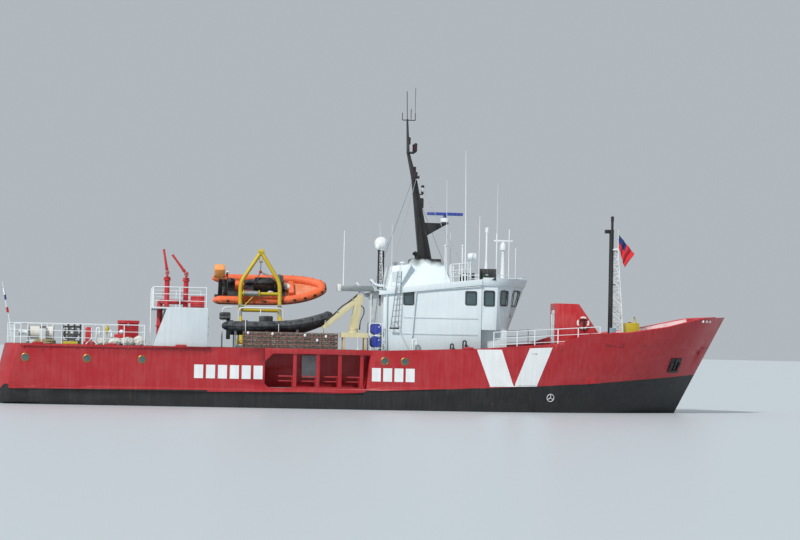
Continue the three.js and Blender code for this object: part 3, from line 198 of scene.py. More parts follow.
rope_thick = 0.05
rope_length = 50.0
coil_centre = Vector((-17.3, -3.1, 3.062))
coil_lanes = [0.357, 0.409, 0.461, 0.513]
rope_points = []
laid = 0
turn = 0
while laid < rope_length:
    layer, lane = divmod(turn, len(coil_lanes))
    lanes = coil_lanes if layer % 2 == 0 else coil_lanes[::-1]
    here = lanes[lane]
    after = lanes[lane + 1] if lane + 1 < len(lanes) else here
    rise = 0 if lane + 1 < len(lanes) else 0.047
    for step in range(24):
        share = step / 24
        ease = max(0, (share - 0.75) / 0.25)
        radius = here + (after - here) * ease
        height = rope_thick / 2 + layer * 0.047 + rise * ease
        angle = share * math.tau
        point = coil_centre + Vector((radius * math.cos(angle), radius * math.sin(angle), height))
        if rope_points:
            laid += (point - rope_points[-1]).length
        if laid > rope_length:
            break
        rope_points.append(point)
    turn += 1
mooring_rope = round_bars("mooring_rope", [(rope_points, 1)], rope_thick / 2, 3)
rope_fibre, rope_tree, rope_shader = new_material("polyester_rope", "#b9a987", 0.92)
rope_uv = add_node(rope_tree, "ShaderNodeTexCoord")
# The lay's bands run from dark in the grooves to light on the crowns of the strands: painted shade and
# painted highlight over the fibre's own beige.
rope_lay = add_node(rope_tree, "ShaderNodeTexWave", {
    "Vector": rope_uv.outputs["Object"], "Scale": 14, "Distortion": 6, "Detail": 2,
}, bands_direction="DIAGONAL")
add_node(rope_tree, "ShaderNodeMix", {
    "Factor": rope_lay.outputs["Fac"], 6: linear("#8d7c58"), 7: linear("#d5c8a4"),
}, rope_shader.inputs["Base Color"], 2, data_type="RGBA")
add_node(rope_tree, "ShaderNodeBump", {
    "Height": rope_lay.outputs["Fac"], "Strength": 0.6, "Distance": 0.01,
}, rope_shader.inputs["Normal"])
mooring_rope.data.materials.append(rope_fibre)
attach(mooring_rope, "vessel")
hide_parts("mooring_coil")


# Ensign: woven polyester rolled round its leaning ash staff. The outer turn shows white, blue
# and red by turns as the rolled colours wind down the staff.


def woven_cloth(name, stops):
    """Flag cloth whose colours run along its UV map, with a fine weave drawn at 12 mm to show."""
    cloth, tree, shader = new_material(name, "#ffffff", 0.85, Sheen_Weight=0.3)
    uv = add_node(tree, "ShaderNodeTexCoord").outputs["UV"]
    split = add_node(tree, "ShaderNodeSeparateXYZ", {"Vector": uv})
    colours = add_node(tree, "ShaderNodeValToRGB", {"Fac": split.outputs["X"]}, shader.inputs["Base Color"])
    colours.color_ramp.interpolation = "CONSTANT"
    ramp = colours.color_ramp.elements
    ramp[0].position, ramp[0].color = stops[0][0], linear(stops[0][1])
    ramp[1].position, ramp[1].color = stops[1][0], linear(stops[1][1])
    for place, colour in stops[2:]:
        ramp.new(place).color = linear(colour)
    weave = add_node(tree, "ShaderNodeTexWave", {"Vector": uv, "Scale": 60}, bands_direction="X")
    add_node(tree, "ShaderNodeBump", {
        "Height": weave.outputs["Fac"], "Strength": 0.15, "Distance": 0.004,
    }, shader.inputs["Normal"])
    return cloth


def cloth_sheet(name, rows, material, uv_of):
    """A sheet of cloth through rows of points, smooth, with a UV map from row and column shares."""
    count = len(rows[0])
    mesh = bpy.data.meshes.new(name)
    points = [tuple(p) for row in rows for p in row]
    faces = [
        (r * count + c, r * count + c + 1, (r + 1) * count + c + 1, (r + 1) * count + c)
        for r in range(len(rows) - 1) for c in range(count - 1)
    ]
    mesh.from_pydata(points, [], faces)
    layer = mesh.uv_layers.new(name="cloth")
    for face in mesh.polygons:
        for corner in face.loop_indices:
            row, column = divmod(mesh.loops[corner].vertex_index, count)
            layer.data[corner].uv = uv_of(row / (len(rows) - 1), column / (count - 1))
    piece = bpy.data.objects.new(name, mesh)
    bpy.context.collection.objects.link(piece)
    piece.data.materials.append(material)
    pick(piece)
    bpy.ops.object.shade_smooth()
    return piece


staff_foot = Vector((-19.18, -0.2, 3.9))
staff_line = Vector((-0.2045, 0, 0.9789)).normalized()
staff_side = Vector((0, 1, 0))
staff_front = staff_side.cross(staff_line)
ensign_hoist = 0.8
ensign_rows = []
for k in range(33):
    share = k / 32
    tight = 1 - 0.35 * share
    row = []
    radius = 0.031
    angle = share * 2.2
    for c in range(61):
        place = staff_foot + staff_line * (0.76 + 1.28 * share)
        spread = radius * (1 + 0.1 * math.sin(3 * angle + 5 * share))
        row.append(place + staff_side * spread * math.cos(angle) + staff_front * spread * math.sin(angle))
        stride = ensign_hoist / 60
        angle += stride / radius
        radius += stride * 0.046 * tight
    ensign_rows.append(row)
ensign_cloth = woven_cloth("ensign_cloth", [
    (0, "#a81c28"), (0.3, "#c4cbd4"), (0.55, "#1c3a78"), (0.72, "#e6eaee"),
])
ensign = cloth_sheet("rolled_ensign", ensign_rows, ensign_cloth, lambda r, c: (r * 0.86 + c * 0.14, c))
settle(ensign, "flag_cloth", "ensign")

# Flag at the foremast: the same woven cloth, red with a plain blue canton, hanging slack from
# its own short staff so that the fly drops in three soft folds.
hoist_top = Vector((13.224, 0, 9.62))
hoist_low = Vector((13.235, 0, 8.86))
flag_rows = []
for k in range(25):
    share = k / 24
    row = []
    for c in range(49):
        out = c / 48
        top_edge = hoist_top + Vector((0.88 * out, 0, -1.02 * out))
        low_edge = hoist_low + Vector((0.34 * out ** 0.8, 0, -1.28 * out + 0.26 * out ** 3))
        point = top_edge.lerp(low_edge, share)
        wave = 0.072 * min(1, out * 3) * math.sin(out * 17 + share * 2.4)
        row.append(point + Vector((0.012 * math.sin(share * 9), wave, 0)))
    flag_rows.append(row)
flag_cloth = woven_cloth("foremast_flag_cloth", [(0, "#162a6a"), (0.5, "#c4222c")])
bow_flag = cloth_sheet(
    "foremast_flag", flag_rows, flag_cloth,
    lambda r, c: ((c * 0.98 if r < 0.5 else 0.5 + c * 0.49), r),
)
settle(bow_flag, "flag_cloth", "bow_flag")

# Hull: welded mild steel plating, faired and painted in alkyd enamel, red over a black boot-top
# and brown-red antifouling. The frame's shell is cut finer and eased onto fair lines.


def weathered(name, colour, roughness=0.42, rust=0, seams=0, fade=0.5):
    """Enamel, gelcoat, coated fabric or rubber that has weathered outdoors: patchy fading, rain
    streaks and orange peel, rust that bleeds through, and butt welds spaced seams metres apart."""
    material, tree, shader = new_material(name, colour, roughness)
    place = add_node(tree, "ShaderNodeTexCoord").outputs["Object"]
    patches = add_node(
        tree, "ShaderNodeTexNoise", {"Vector": place, "Scale": 0.9, "Detail": 6, "Roughness": 0.6},
    )
    stretch = add_node(tree, "ShaderNodeMapping", {"Vector": place, "Scale": (5, 5, 0.35)})
    streaks = add_node(
        tree, "ShaderNodeTexNoise", {"Vector": stretch.outputs["Vector"], "Scale": 1.6, "Detail": 5},
    )
    mixed = add_node(
        tree, "ShaderNodeMath", {
            0: patches.outputs["Fac"], 1: streaks.outputs["Fac"],
        }, operation="MULTIPLY",
    )
    spread = add_node(
        tree, "ShaderNodeMapRange", {"Value": mixed.outputs["Value"], "From Min": 0.16, "From Max": 0.36},
    )
    base = linear(colour)
    worn = tuple(c + (0.62 - c) * 0.16 * fade for c in base[:3]) + (1,)
    deep = tuple(c * (1 - 0.22 * fade) for c in base[:3]) + (1,)
    tone = add_node(
        tree, "ShaderNodeMix", {"Factor": spread.outputs["Result"], 6: deep, 7: worn}, data_type="RGBA",
    )
    skin = tone.outputs[2]
    if rust:
        spots = add_node(
            tree, "ShaderNodeTexNoise", {"Vector": stretch.outputs["Vector"], "Scale": 3.1, "Detail": 9},
        )
        where = add_node(tree, "ShaderNodeMapRange", {
            "Value": spots.outputs["Fac"], "From Min": 0.70 - 0.1 * rust, "From Max": 0.80, "To Max": 0.75,
        })
        stained = add_node(tree, "ShaderNodeMix", {
            "Factor": where.outputs["Result"], 6: skin, 7: linear("#7d4a2c"),
        }, data_type="RGBA")
        skin = stained.outputs[2]
    tree.links.new(skin, shader.inputs["Base Color"])
    peel = add_node(tree, "ShaderNodeTexNoise", {"Vector": place, "Scale": 28, "Detail": 2})
    relief = add_node(
        tree, "ShaderNodeBump", {"Height": peel.outputs["Fac"], "Strength": 0.12, "Distance": 0.004},
    )
    normal = relief.outputs["Normal"]
    if seams:
        dents = add_node(
            tree, "ShaderNodeTexVoronoi", {"Vector": place, "Scale": 1 / seams, "Randomness": 0.35},
            distance="CHEBYCHEV",
        )
        hungry = add_node(tree, "ShaderNodeBump", {
            "Height": dents.outputs["Distance"], "Strength": 0.22, "Distance": 0.02, "Normal": normal,
        })
        normal = hungry.outputs["Normal"]
    tree.links.new(normal, shader.inputs["Normal"])
    add_node(tree, "ShaderNodeMapRange", {
        "Value": patches.outputs["Fac"],
        "To Min": max(0.05, roughness - 0.12), "To Max": min(1, roughness + 0.18),
    }, shader.inputs["Roughness"])
    return material


hull_enamel = weathered("alkyd_enamel_hull_red", "#a81a24", 0.38, rust=0.25, seams=1.3, fade=0.22)
boot_enamel = weathered("boot_top_enamel_black", "#131417", 0.5, rust=0.2, seams=1.3, fade=0.12)
antifouling = weathered("antifouling_brown_red", "#6e2322", 0.8, rust=0.4, seams=1.3)
deck_enamel = weathered("deck_enamel_green_grey", "#6f7a73", 0.75, rust=0.5)
bulwark_enamel = weathered("bulwark_enamel_red", "#c4202c", 0.4, rust=0.2)
# Pale pink on the inner face of the bow bulwark forward of x = 13.6, lighter than the red further aft:
# partly a painted sunlit highlight.
bow_lining_sunlit = weathered("bulwark_lining_pale_pink_painted_sunlight", "#dcbabc", 0.5, rust=0.4)
mark_enamel = weathered("marking_enamel_white", "#e6ebee")

# Stations of the shell: place, keel and sheer heights, half breadths at six rows, and the share
# of the stem's and the transom's slope.
stations = [
    (-20, -0.3, 3.06, (0.09, 1.5, 2.4, 2.75, 2.88, 2.9), 0, 1),
    (-19.3, -0.56, 3.06, (0.09, 2.3, 3.65, 4.25, 4.38, 4.4), 0, 1),
    (-17.2, -0.98, 3.06, (0.09, 2.5, 3.85, 4.33, 4.4, 4.4), 0, 0),
    (-15, -1.5, 3.06, (0.1, 2.5, 3.95, 4.38, 4.4, 4.4), 0, 0),
    (-12.5, -3.15, 3.06, (0.13, 2.55, 4.05, 4.4, 4.4, 4.4), 0, 0),
    (-8, -3.6, 3.06, (0.2, 3, 4.2, 4.4, 4.4, 4.4), 0, 0),
    (0, -3.7, 3.06, (0.2, 3.15, 4.25, 4.4, 4.4, 4.4), 0, 0),
    (5, -3.7, 3.27, (0.2, 2.8, 3.9, 4.25, 4.38, 4.4), 0, 0),
    (8.975, -3.65, 3.6, (0.18, 2, 3.05, 3.6, 3.98, 4.33), 0.05, 0),
    (10.55, -3.6, 4.18, (0.17, 1.6, 2.6, 3.15, 3.65, 4.18), 0.13, 0),
    (12.25, -3.48, 4.24, (0.15, 1.08, 1.9, 2.43, 3.02, 3.85), 0.32, 0),
    (13.9, -3.2, 4.6, (0.12, 0.58, 1.12, 1.54, 2.12, 3.25), 0.57, 0),
    (15.3, -2.7, 5.13, (0.09, 0.25, 0.5, 0.72, 1.15, 2.25), 0.8, 0),
    (16.434, -2.1, 5.25, (0.04, 0.045, 0.05, 0.055, 0.06, 0.11), 1, 0),
]
row_shares = (1, 0.72, 0.34)


def fair(x, xs, ys, smooth=True):
    """Height of a line through points at x: straight from point to point, or eased without overshoot."""
    k = 1
    while k < len(xs) - 1 and xs[k] < x:
        k += 1
    width = xs[k] - xs[k - 1]
    share = min(1, max(0, (x - xs[k - 1]) / width))
    if not smooth:
        return ys[k - 1] + (ys[k] - ys[k - 1]) * share

    def slope(i):
        if i in (0, len(xs) - 1):
            low, high = max(i - 1, 0), min(i + 1, len(xs) - 1)
            return (ys[high] - ys[low]) / (xs[high] - xs[low])
        before = (ys[i] - ys[i - 1]) / (xs[i] - xs[i - 1])
        after = (ys[i + 1] - ys[i]) / (xs[i + 1] - xs[i])
        return 2 * before * after / (before + after) if before * after > 0 else 0

    s2, s3 = share * share, share ** 3
    return ((2 * s3 - 3 * s2 + 1) * ys[k - 1] + (s3 - 2 * s2 + share) * width * slope(k - 1)
            + (3 * s2 - 2 * s3) * ys[k] + (s3 - s2) * width * slope(k))


def shell_rows(station):
    x, keel, sheer, half, fore, aft = station
    heights = [keel * share for share in row_shares] + [0.15, 1.25, sheer]
    places = []
    for z in heights:
        lean = fore * z * (0.42 if z < 0 else 0.521)
        places.append(x + lean + aft * 0.69 * max(0, z / 3.06))
    return heights, places, half


shell_table = [shell_rows(station) for station in stations]


def shell_half(x, z, smooth=True):
    """Half breadth of the shell at a place and height."""
    xs = [fair(z, heights, places, False) for heights, places, half in shell_table]
    ys = [fair(z, heights, half, smooth) for heights, places, half in shell_table]
    return fair(x, xs, ys, smooth)


def sheer_at(x):
    return fair(x, [row[1][-1] for row in shell_table], [row[0][-1] for row in shell_table], False)


def boot_line(x):
    """Height of the top of the boot-top, which steps up at the fore end of the rescue zone."""
    if x < -0.85:
        return fair(x, [-19, -9, -1], [0.83, 0.83, 0.86], False)
    return fair(x, [-0.7, 2.4, 6.9, 11, 14.5, 18], [1, 1.11, 1.32, 1.55, 1.85, 2.15], False)


def edit_all():
    """Opens the active piece for editing, with all of it selected."""
    bpy.ops.object.mode_set(mode="EDIT")
    bpy.ops.mesh.select_all(action="SELECT")


def end_edit():
    bpy.ops.object.mode_set(mode="OBJECT")


def copy_of(name, *nodes):
    """A copy of CAD nodes as one merged mesh, ready to be worked on."""
    copies = []
    for node in nodes:
        twin = frame["nodes"][node].copy()
        twin.data = twin.data.copy()
        for key in list(twin.keys()):
            del twin[key]
        twin.parent = None
        twin.hide_render = twin.hide_viewport = False
        bpy.context.collection.objects.link(twin)
        copies.append(twin)
    pick(*copies)
    if len(copies) > 1:
        bpy.ops.object.join()
    piece = bpy.context.object
    piece.name = name
    edit_all()
    bpy.ops.mesh.remove_doubles(threshold=0.00005)
    end_edit()
    return piece


def slice_mesh(piece, cuts):
    """Cuts the whole mesh along planes, each given by a point and a normal."""
    pick(piece)
    bpy.ops.object.mode_set(mode="EDIT")
    for point, normal in cuts:
        bpy.ops.mesh.select_all(action="SELECT")
        bpy.ops.mesh.bisect(plane_co=point, plane_no=normal)
    end_edit()


def smooth_edges(piece, degrees=30):
    """Smooth shading, with edges sharper than the angle left crisp."""
    pick(piece)
    bpy.ops.object.shade_smooth_by_angle(angle=math.radians(degrees))


def coated(piece, name, coat, degrees=30):
    """Names a new piece, gives it its coat and smooths it."""
    piece.name = name
    piece.data.materials.append(coat)
    smooth_edges(piece, degrees)
    return piece


hull_skin = copy_of("hull_plating", "hull", "bulwark")
ring_cuts = [((x / 2, 0, 0), (1, 0, 0)) for x in range(-39, -32)]
ring_cuts += [((x * 0.4, 0, 0), (1, 0, 0)) for x in range(6, 46)]
water_cuts = [((0, 0, z), (0, 0, 1)) for z in (
    -2.9, -2.2, -1.6, -0.8, -0.3, 0, 0.5, 1, 1.9, 2.5, 3.3, 3.8, 4.4,
)]
boot_places = (2.4, 6.9, 11, 14.5, 18)
boot_cuts = []
for x0, x1 in zip(boot_places, boot_places[1:]):
    slope = (boot_line(x1) - boot_line(x0)) / (x1 - x0)
    boot_cuts.append(((x0, 0, boot_line(x0)), (-slope, 0, 1)))
slice_mesh(hull_skin, ring_cuts + water_cuts + boot_cuts)
strake_depth = 0.05
outer = set()
for face in hull_skin.data.polygons:
    if face.normal.y * math.copysign(1, face.center.y) > 0.15:
        outer.update(face.vertices)
for vertex in hull_skin.data.vertices:
    x, y, z = vertex.co
    if x < -19.9 or x > 18.9 or abs(y) < (0.3 if z < 0 else 0.02):
        continue
    proud = abs(y) - shell_half(x, z, False)
    if x > 4.5 and vertex.index in outer and -0.15 < proud < 0.1:
        on_strake = proud > 0.035 and abs(z - boot_line(x)) < 0.09
        vertex.co.y = math.copysign(shell_half(x, z) + (strake_depth if on_strake else 0), y)
    elif x > 4.5 and -0.3 < proud < 0 or -0.004 < proud < 0.1 and (proud < 0.004 or 0.5 < z < 3.2):
        vertex.co.y = math.copysign(shell_half(x, z) + proud, y)
hull_skin.data.materials.clear()
for coat in (hull_enamel, boot_enamel, antifouling, deck_enamel, bulwark_enamel, bow_lining_sunlit):
    hull_skin.data.materials.append(coat)
for face in hull_skin.data.polygons:
    x, y, z = face.center
    if z < -0.02:
        face.material_index = 2
    elif z < boot_line(x) - 0.01 and abs(y) > shell_half(x, z) - 0.4 or z < 0.5:
        face.material_index = 1
    elif face.normal.z > 0.9 and z < 3.55 and abs(y) < shell_half(x, 3) - 0.06:
        face.material_index = 3
    elif z > 3.07 and abs(y) < shell_half(x, z) - 0.05 and face.normal.y * y < 0:
        # Inner bulwark faces forward of x = 13.6 take the pale pink lining, which is partly painted
        # sunlight.
        face.material_index = 5 if x > 13.6 and abs(face.normal.z) < 0.8 else 4
    else:
        face.material_index = 0
smooth_edges(hull_skin, 32)
settle(hull_skin, "hull_paint", "hull", "bulwark")


# Markings: white enamel brushed on inside masked edges. The lettered places and the names are
# left as plain bars, and the two slanted bands and the thruster's disc keep their places.


def shell_patch(name, corners, side, steps=(12, 2)):
    """A thin coat of white paint on the shell between four corners given as (x, z)."""
    low_aft, low_fore, high_fore, high_aft = (Vector((x, 0, z)) for x, z in corners)
    bpy.ops.object.select_all(action="DESELECT")
    bpy.ops.mesh.primitive_grid_add(x_subdivisions=steps[0], y_subdivisions=steps[1], size=1)
    piece = bpy.context.object
    for vertex in piece.data.vertices:
        u, v = vertex.co.x + 0.5, vertex.co.y + 0.5
        spot = low_aft.lerp(low_fore, u).lerp(high_aft.lerp(high_fore, u), v)
        vertex.co = (spot.x, side * (shell_half(spot.x, spot.z) + 0.05), spot.z)
    if side > 0:
        piece.data.flip_normals()
    lay_on = piece.modifiers.new("laid_on_shell", "SHRINKWRAP")
    lay_on.target = hull_skin
    lay_on.wrap_mode = "ABOVE_SURFACE"
    lay_on.offset = 0.01
    bpy.ops.object.modifier_apply(modifier=lay_on.name)
    return coated(piece, name, mark_enamel)


def joined(name, pieces):
    """Several objects made one."""
    pick(*pieces)
    bpy.ops.object.join()
    piece = bpy.context.object
    piece.name = name
    return piece


band_corners = [
    [(5.57, 1.36), (6.83, 1.36), (6.16, 3.24), (4.85, 3.22)],
    [(6.89, 1.40), (8.10, 1.42), (8.85, 3.40), (7.64, 3.34)],
]
bar_spans = [(-9.70 + 0.605 * k, -9.70 + 0.605 * k + 0.46) for k in range(6)]
bar_spans += [(-0.59 + 0.585 * k, -0.59 + 0.585 * k + 0.46) for k in range(4)]
markings = []
for side in (-1, 1):
    for corners in band_corners:
        markings.append(shell_patch("band", corners, side, (9, 16)))
    for x0, x1 in bar_spans:
        markings.append(shell_patch("bar", [(x0, 1.47), (x1, 1.47), (x1, 2.16), (x0, 2.16)], side, (2, 2)))
    markings.append(shell_patch(
        "foot_line", [(5.57, 1.30), (8.10, 1.36), (8.10, 1.41), (5.57, 1.36)], side,
    ))
settle(joined("hull_markings", markings), "white_paint")

# Side scuttles: cast brass rings bolted to the shell round toughened glass, three on each
# quarter and two under the house.
upward, forward, to_port = (0, 0, 1), (1, 0, 0), (0, 1, 0)


def aloft(height):
    return Vector((0, 0, height))


def turned(name, foot, axis, profile, coat, facets=24):
    """A round piece: a disc at the foot, extruded and resized to each (reach, radius) on the axis."""
    bpy.ops.object.select_all(action="DESELECT")
    start, radius = profile[0]
    bpy.ops.mesh.primitive_circle_add(vertices=facets, radius=radius, fill_type="NGON")
    piece = bpy.context.object
    lift = Matrix.Translation((0, 0, start))
    edit_all()
    for reach, wide in profile[1:]:
        bpy.ops.mesh.extrude_region_move(TRANSFORM_OT_translate={"value": (0, 0, reach - start)})
        bpy.ops.transform.resize(value=(wide / radius, wide / radius, 1))
        start, radius = reach, wide
    bpy.ops.mesh.select_all(action="SELECT")
    bpy.ops.mesh.normals_make_consistent(inside=False)
    end_edit()
    turn = aloft(1).rotation_difference(Vector(axis)).to_matrix().to_4x4()
    piece.matrix_world = Matrix.Translation(Vector(foot)) @ turn @ lift
    pick(piece)
    bpy.ops.object.transform_apply(location=True, rotation=True, scale=True)
    return coated(piece, name, coat, 40)


def two_tone(name, dark, light, roughness, metallic=0, scale=6, **sockets):
    """Glass or bright metal that drifts between two tones: on metal as its polish varies, and on glass as a
    painted reflection.
    """
    material, tree, shader = new_material(name, dark, roughness, metallic, **sockets)
    place = add_node(tree, "ShaderNodeTexCoord").outputs["Object"]
    drift = add_node(tree, "ShaderNodeTexNoise", {"Vector": place, "Scale": scale, "Detail": 4})
    add_node(tree, "ShaderNodeMix", {
        "Factor": drift.outputs["Fac"], 6: linear(dark), 7: linear(light),
    }, shader.inputs["Base Color"], 2, data_type="RGBA")
    add_node(tree, "ShaderNodeMapRange", {
        "Value": drift.outputs["Fac"], "To Min": roughness * 0.6, "To Max": roughness * 1.5,
    }, shader.inputs["Roughness"])
    return material


# On the window glass, the drift from dark to the lighter tone is a painted reflection across the panes.
window_glass = two_tone("toughened_window_glass", "#1f3238", "#587074", 0.07, scale=1.7,
                        IOR=1.52, Specular_IOR_Level=0.8, Coat_Weight=0.6)
brass = two_tone("cast_brass_weathered", "#7c6336", "#caa65a", 0.35, 1, 22)
scuttles = []
for side in (-1, 1):
    for x, z in ((-18.2, 2.36), (-15.11, 2.36), (-12.35, 2.36), (0.07, 2.52), (1.11, 2.52)):
        seat = (x, side * (shell_half(x, z) - 0.01), z)
        scuttles.append(turned("ring", seat, (0, side, 0), [
            (0, 0.21), (0.022, 0.21), (0.034, 0.195), (0.034, 0.165), (0.018, 0.155), (0.012, 0.01),
        ], brass, 28))
        scuttles.append(turned(
            "pane", seat, (0, side, 0), [(0, 0.158), (0.021, 0.158), (0.024, 0.14)], window_glass,
        ))
settle(joined("side_scuttles", scuttles), "window_glass")

# Deck-edge brackets, fairlead lips and the disc that marks the bow thruster: small plates welded
# to the shell and painted over.


def block(name, low, high, coat, edge=0.008):
    """A plate or box between two corners, its edges eased by a bevel."""
    low, high = Vector(low), Vector(high)
    bpy.ops.object.select_all(action="DESELECT")
    bpy.ops.mesh.primitive_cube_add(size=1, location=(low + high) / 2)
    piece = bpy.context.object
    piece.scale = high - low
    bpy.ops.object.transform_apply(location=True, rotation=True, scale=True)
    soften(piece, min(edge, 0.3 * min(high - low)))
    piece.name = name
    piece.data.materials.append(coat)
    return piece


def soften(piece, width, degrees=35):
    """Eases the sharp edges of a mesh with a bevel two segments wide."""
    pick(piece)
    ease = piece.modifiers.new("eased_edges", "BEVEL")
    ease.width = width
    ease.segments = 2
    ease.limit_method = "ANGLE"
    ease.angle_limit = math.radians(degrees)
    ease.use_clamp_overlap = True
    bpy.ops.object.modifier_apply(modifier=ease.name)
    smooth_edges(piece, 35)
    return piece


brackets = []
for side in (-1, 1):
    for k in range(8):
        x = -18.3 + 1.31 * k
        y = side * shell_half(x, 2.9)
        brackets.append(block(
            "bracket", (x - 0.03, min(y, y + side * 0.07), 2.84), (x + 0.03, max(y, y + side * 0.07), 2.96),
            hull_enamel,
        ))
    for x in (-17.6, -13.9, -10.4, 4.4):
        y = side * (shell_half(x, sheer_at(x)) - 0.02)
        brackets.append(block(
            "lip", (x - 0.28, y - 0.05, sheer_at(x) - 0.03), (x + 0.28, y + 0.05, sheer_at(x) + 0.09),
            hull_enamel, 0.03,
        ))
settle(joined("deck_edge_brackets", brackets), "hull_paint")


def pipework(name, runs, coat, sides=2):
    """Tubes and pipes as one mesh; each run is its points and its radius, or a radius for each point."""
    piece = round_bars(name, runs, 1, sides)
    piece.data.materials.append(coat)
    pick(piece)
    bpy.ops.object.convert(target="MESH")
    piece = bpy.context.object
    smooth_edges(piece, 50)
    return piece


def circle(steps, radius=1):
    """Places round a circle, with the first one again at the end."""
    angles = [math.tau * k / steps for k in range(steps + 1)]
    return [(radius * math.cos(angle), radius * math.sin(angle)) for angle in angles]


mark_runs = []
for side in (-1, 1):
    strokes = [circle(32, 0.19)]
    for u, v in ((0, 1), (0.866, -0.5), (-0.866, -0.5)):
        strokes.append([(reach * u, reach * v) for reach in (0, 0.09, 0.19)])
    for stroke in strokes:
        route = [(8.87 + u, side * (shell_half(8.87 + u, 0.78 + v) + 0.004), 0.78 + v) for u, v in stroke]
        mark_runs.append((route, 0.017))
settle(pipework("thruster_marks", mark_runs, mark_enamel), "white_paint")

# Rescue zones: the openings' posts, sills and benches, welded from flat bar and painted with the
# hull.


def dressed(node, coat, name=None, edge=0.006, degrees=35):
    """The node's own shape with eased edges, smooth rounds and a real finish."""
    body = frame["nodes"][node]["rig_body"]
    piece = copy_of(name or node + "_made", node)
    piece.data.materials.clear()
    piece.data.materials.append(coat)
    soften(piece, edge, degrees)
    return settle(piece, slots[node], node, body=body)


slots = {part["node"]: part["material_slot"] for part in frame["record"]["subparts"]}
dressed("rescue_frame_starboard", hull_enamel, "rescue_zone_frame_starboard")
dressed("rescue_frame_port", hull_enamel, "rescue_zone_frame_port")

# Stern rails: galvanised steel tube, three bars high, welded to stanchions round the after deck
# and painted white. The ensign staff is clamped to the middle stanchions.
white_enamel = weathered("alkyd_enamel_white", "#e3eaee", 0.4, rust=0.3, fade=0.35)


def rail_runs(feet, height, shares=(1, 0.66, 0.33)):
    """Stanchions at the feet and level bars between them, as runs for pipework."""
    runs = [([(x, y, z), (x, y, z + height)], 0.027) for x, y, z in feet]
    for share in shares:
        bar = [(x, y, z + height * share - 0.02) for x, y, z in feet]
        runs.append((bar, 0.021 * (1 if share == 1 else 0.75)))
    return runs


deck_z = 3.0603
stern_line = [(x, -4.3) for x in (-12.25, -13.28, -14.3, -15.35, -16.4, -17.42, -18.45)]
stern_line += [(-18.815, -3.56), (-19.18, -2.82), (-19.18, -1.41), (-19.18, 0)]
stern_feet = [(x, y, deck_z) for x, y in stern_line]
stern_feet += [(x, -y, z) for x, y, z in stern_feet[-2::-1]]
stern_runs = rail_runs(stern_feet, 1.05)
staff_top = Vector((-19.18, -0.2, 3.9)) + Vector((-0.2045, 0, 0.9789)) * 2.3
stern_runs += [
    ([(-19.18, -0.2, 3.9), staff_top], [0.026, 0.018]),
    ([staff_top, staff_top + aloft(0.03), staff_top + aloft(0.06)], [0.02, 0.036, 0.012]),
    ([(-19.18, -0.2, 3.9), (-19.18, 0, 3.9)], 0.02),
    ([(-18.45, -4.25, 3.07), (-18.45, -4.25, 4.05), (-18.78, -3.62, 4.05), (-18.78, -3.62, 3.07)], 0.032),
]
settle(pipework("stern_rail_pipes", stern_runs, white_enamel), "white_paint", "stern_rails")

# Mooring winch: cast and fabricated steel on a welded bed. The drum holds layers of white
# polyester line, and a warping head stands out aft.
galvanised, zinc_tree, zinc_shader = new_material("hot_dip_galvanised_steel", "#9aa1a4", 0.5, 0.75)
zinc_place = add_node(zinc_tree, "ShaderNodeTexCoord").outputs["Object"]
spangle = add_node(zinc_tree, "ShaderNodeTexVoronoi", {"Vector": zinc_place, "Scale": 24})
add_node(zinc_tree, "ShaderNodeMix", {
    "Factor": spangle.outputs["Distance"], 6: linear("#7b8387"), 7: linear("#b4babd"),
}, zinc_shader.inputs["Base Color"], 2, data_type="RGBA")
add_node(zinc_tree, "ShaderNodeBump", {
    "Height": spangle.outputs["Distance"], "Strength": 0.1, "Distance": 0.004,
}, zinc_shader.inputs["Normal"])
winch_enamel = weathered("winch_enamel_pale_grey", "#d5dbde", 0.5, rust=0.8)
wound_line = weathered("wound_polyester_line", "#e4e3dc", 0.9, fade=0.8)
winch_axis = Vector((-18.15, -1.3, 3.62))
turns_profile = [(0, 0.25)]
for k in range(22):
    turns_profile += [(0.04 + 0.053 * k, 0.318), (0.067 + 0.053 * k, 0.33), (0.09 + 0.053 * k, 0.318)]
turns_profile += [(1.24, 0.25)]
winch = [turned("line", winch_axis, forward, turns_profile, wound_line, 28)]
for x in (-18.26, -16.98):
    flange = [(0, 0.10), (0, 0.44), (0.02, 0.47), (0.06, 0.47), (0.08, 0.44), (0.08, 0.10)]
    winch.append(turned("flange", (x, -1.3, 3.62), forward, flange, winch_enamel, 32))
winch.append(turned("warping_head", (-18.7, -1.3, 3.62), forward, [
    (0, 0.12), (0, 0.165), (0.03, 0.17), (0.1, 0.13), (0.3, 0.11), (0.42, 0.13), (0.46, 0.165),
    (0.5, 0.165),
], winch_enamel, 28))
winch.append(turned("shaft", (-18.3, -1.3, 3.62), forward, [(0, 0.06), (1.35, 0.06)], galvanised, 16))
for x0, x1, y0, y1, z0, z1 in (
    (-18.3, -16.8, -1.9, -1.75, deck_z, 3.22), (-18.3, -16.8, -0.85, -0.7, deck_z, 3.22),
    (-18.3, -18.1, -1.9, -0.7, deck_z, 3.2),
    (-17, -16.8, -1.9, -0.7, deck_z, 3.2), (-17.62, -17.3, -1.85, -1.55, 3.18, 3.95),
    (-17.62, -17.3, -1.05, -0.75, 3.18, 3.95),
    (-17.62, -17.3, -1.85, -0.75, 3.82, 3.95),
):
    winch.append(block("bed", (x0, y0, z0), (x1, y1, z1), winch_enamel, 0.02))
settle(joined("mooring_winch", winch), "white_paint", "stern_winch")

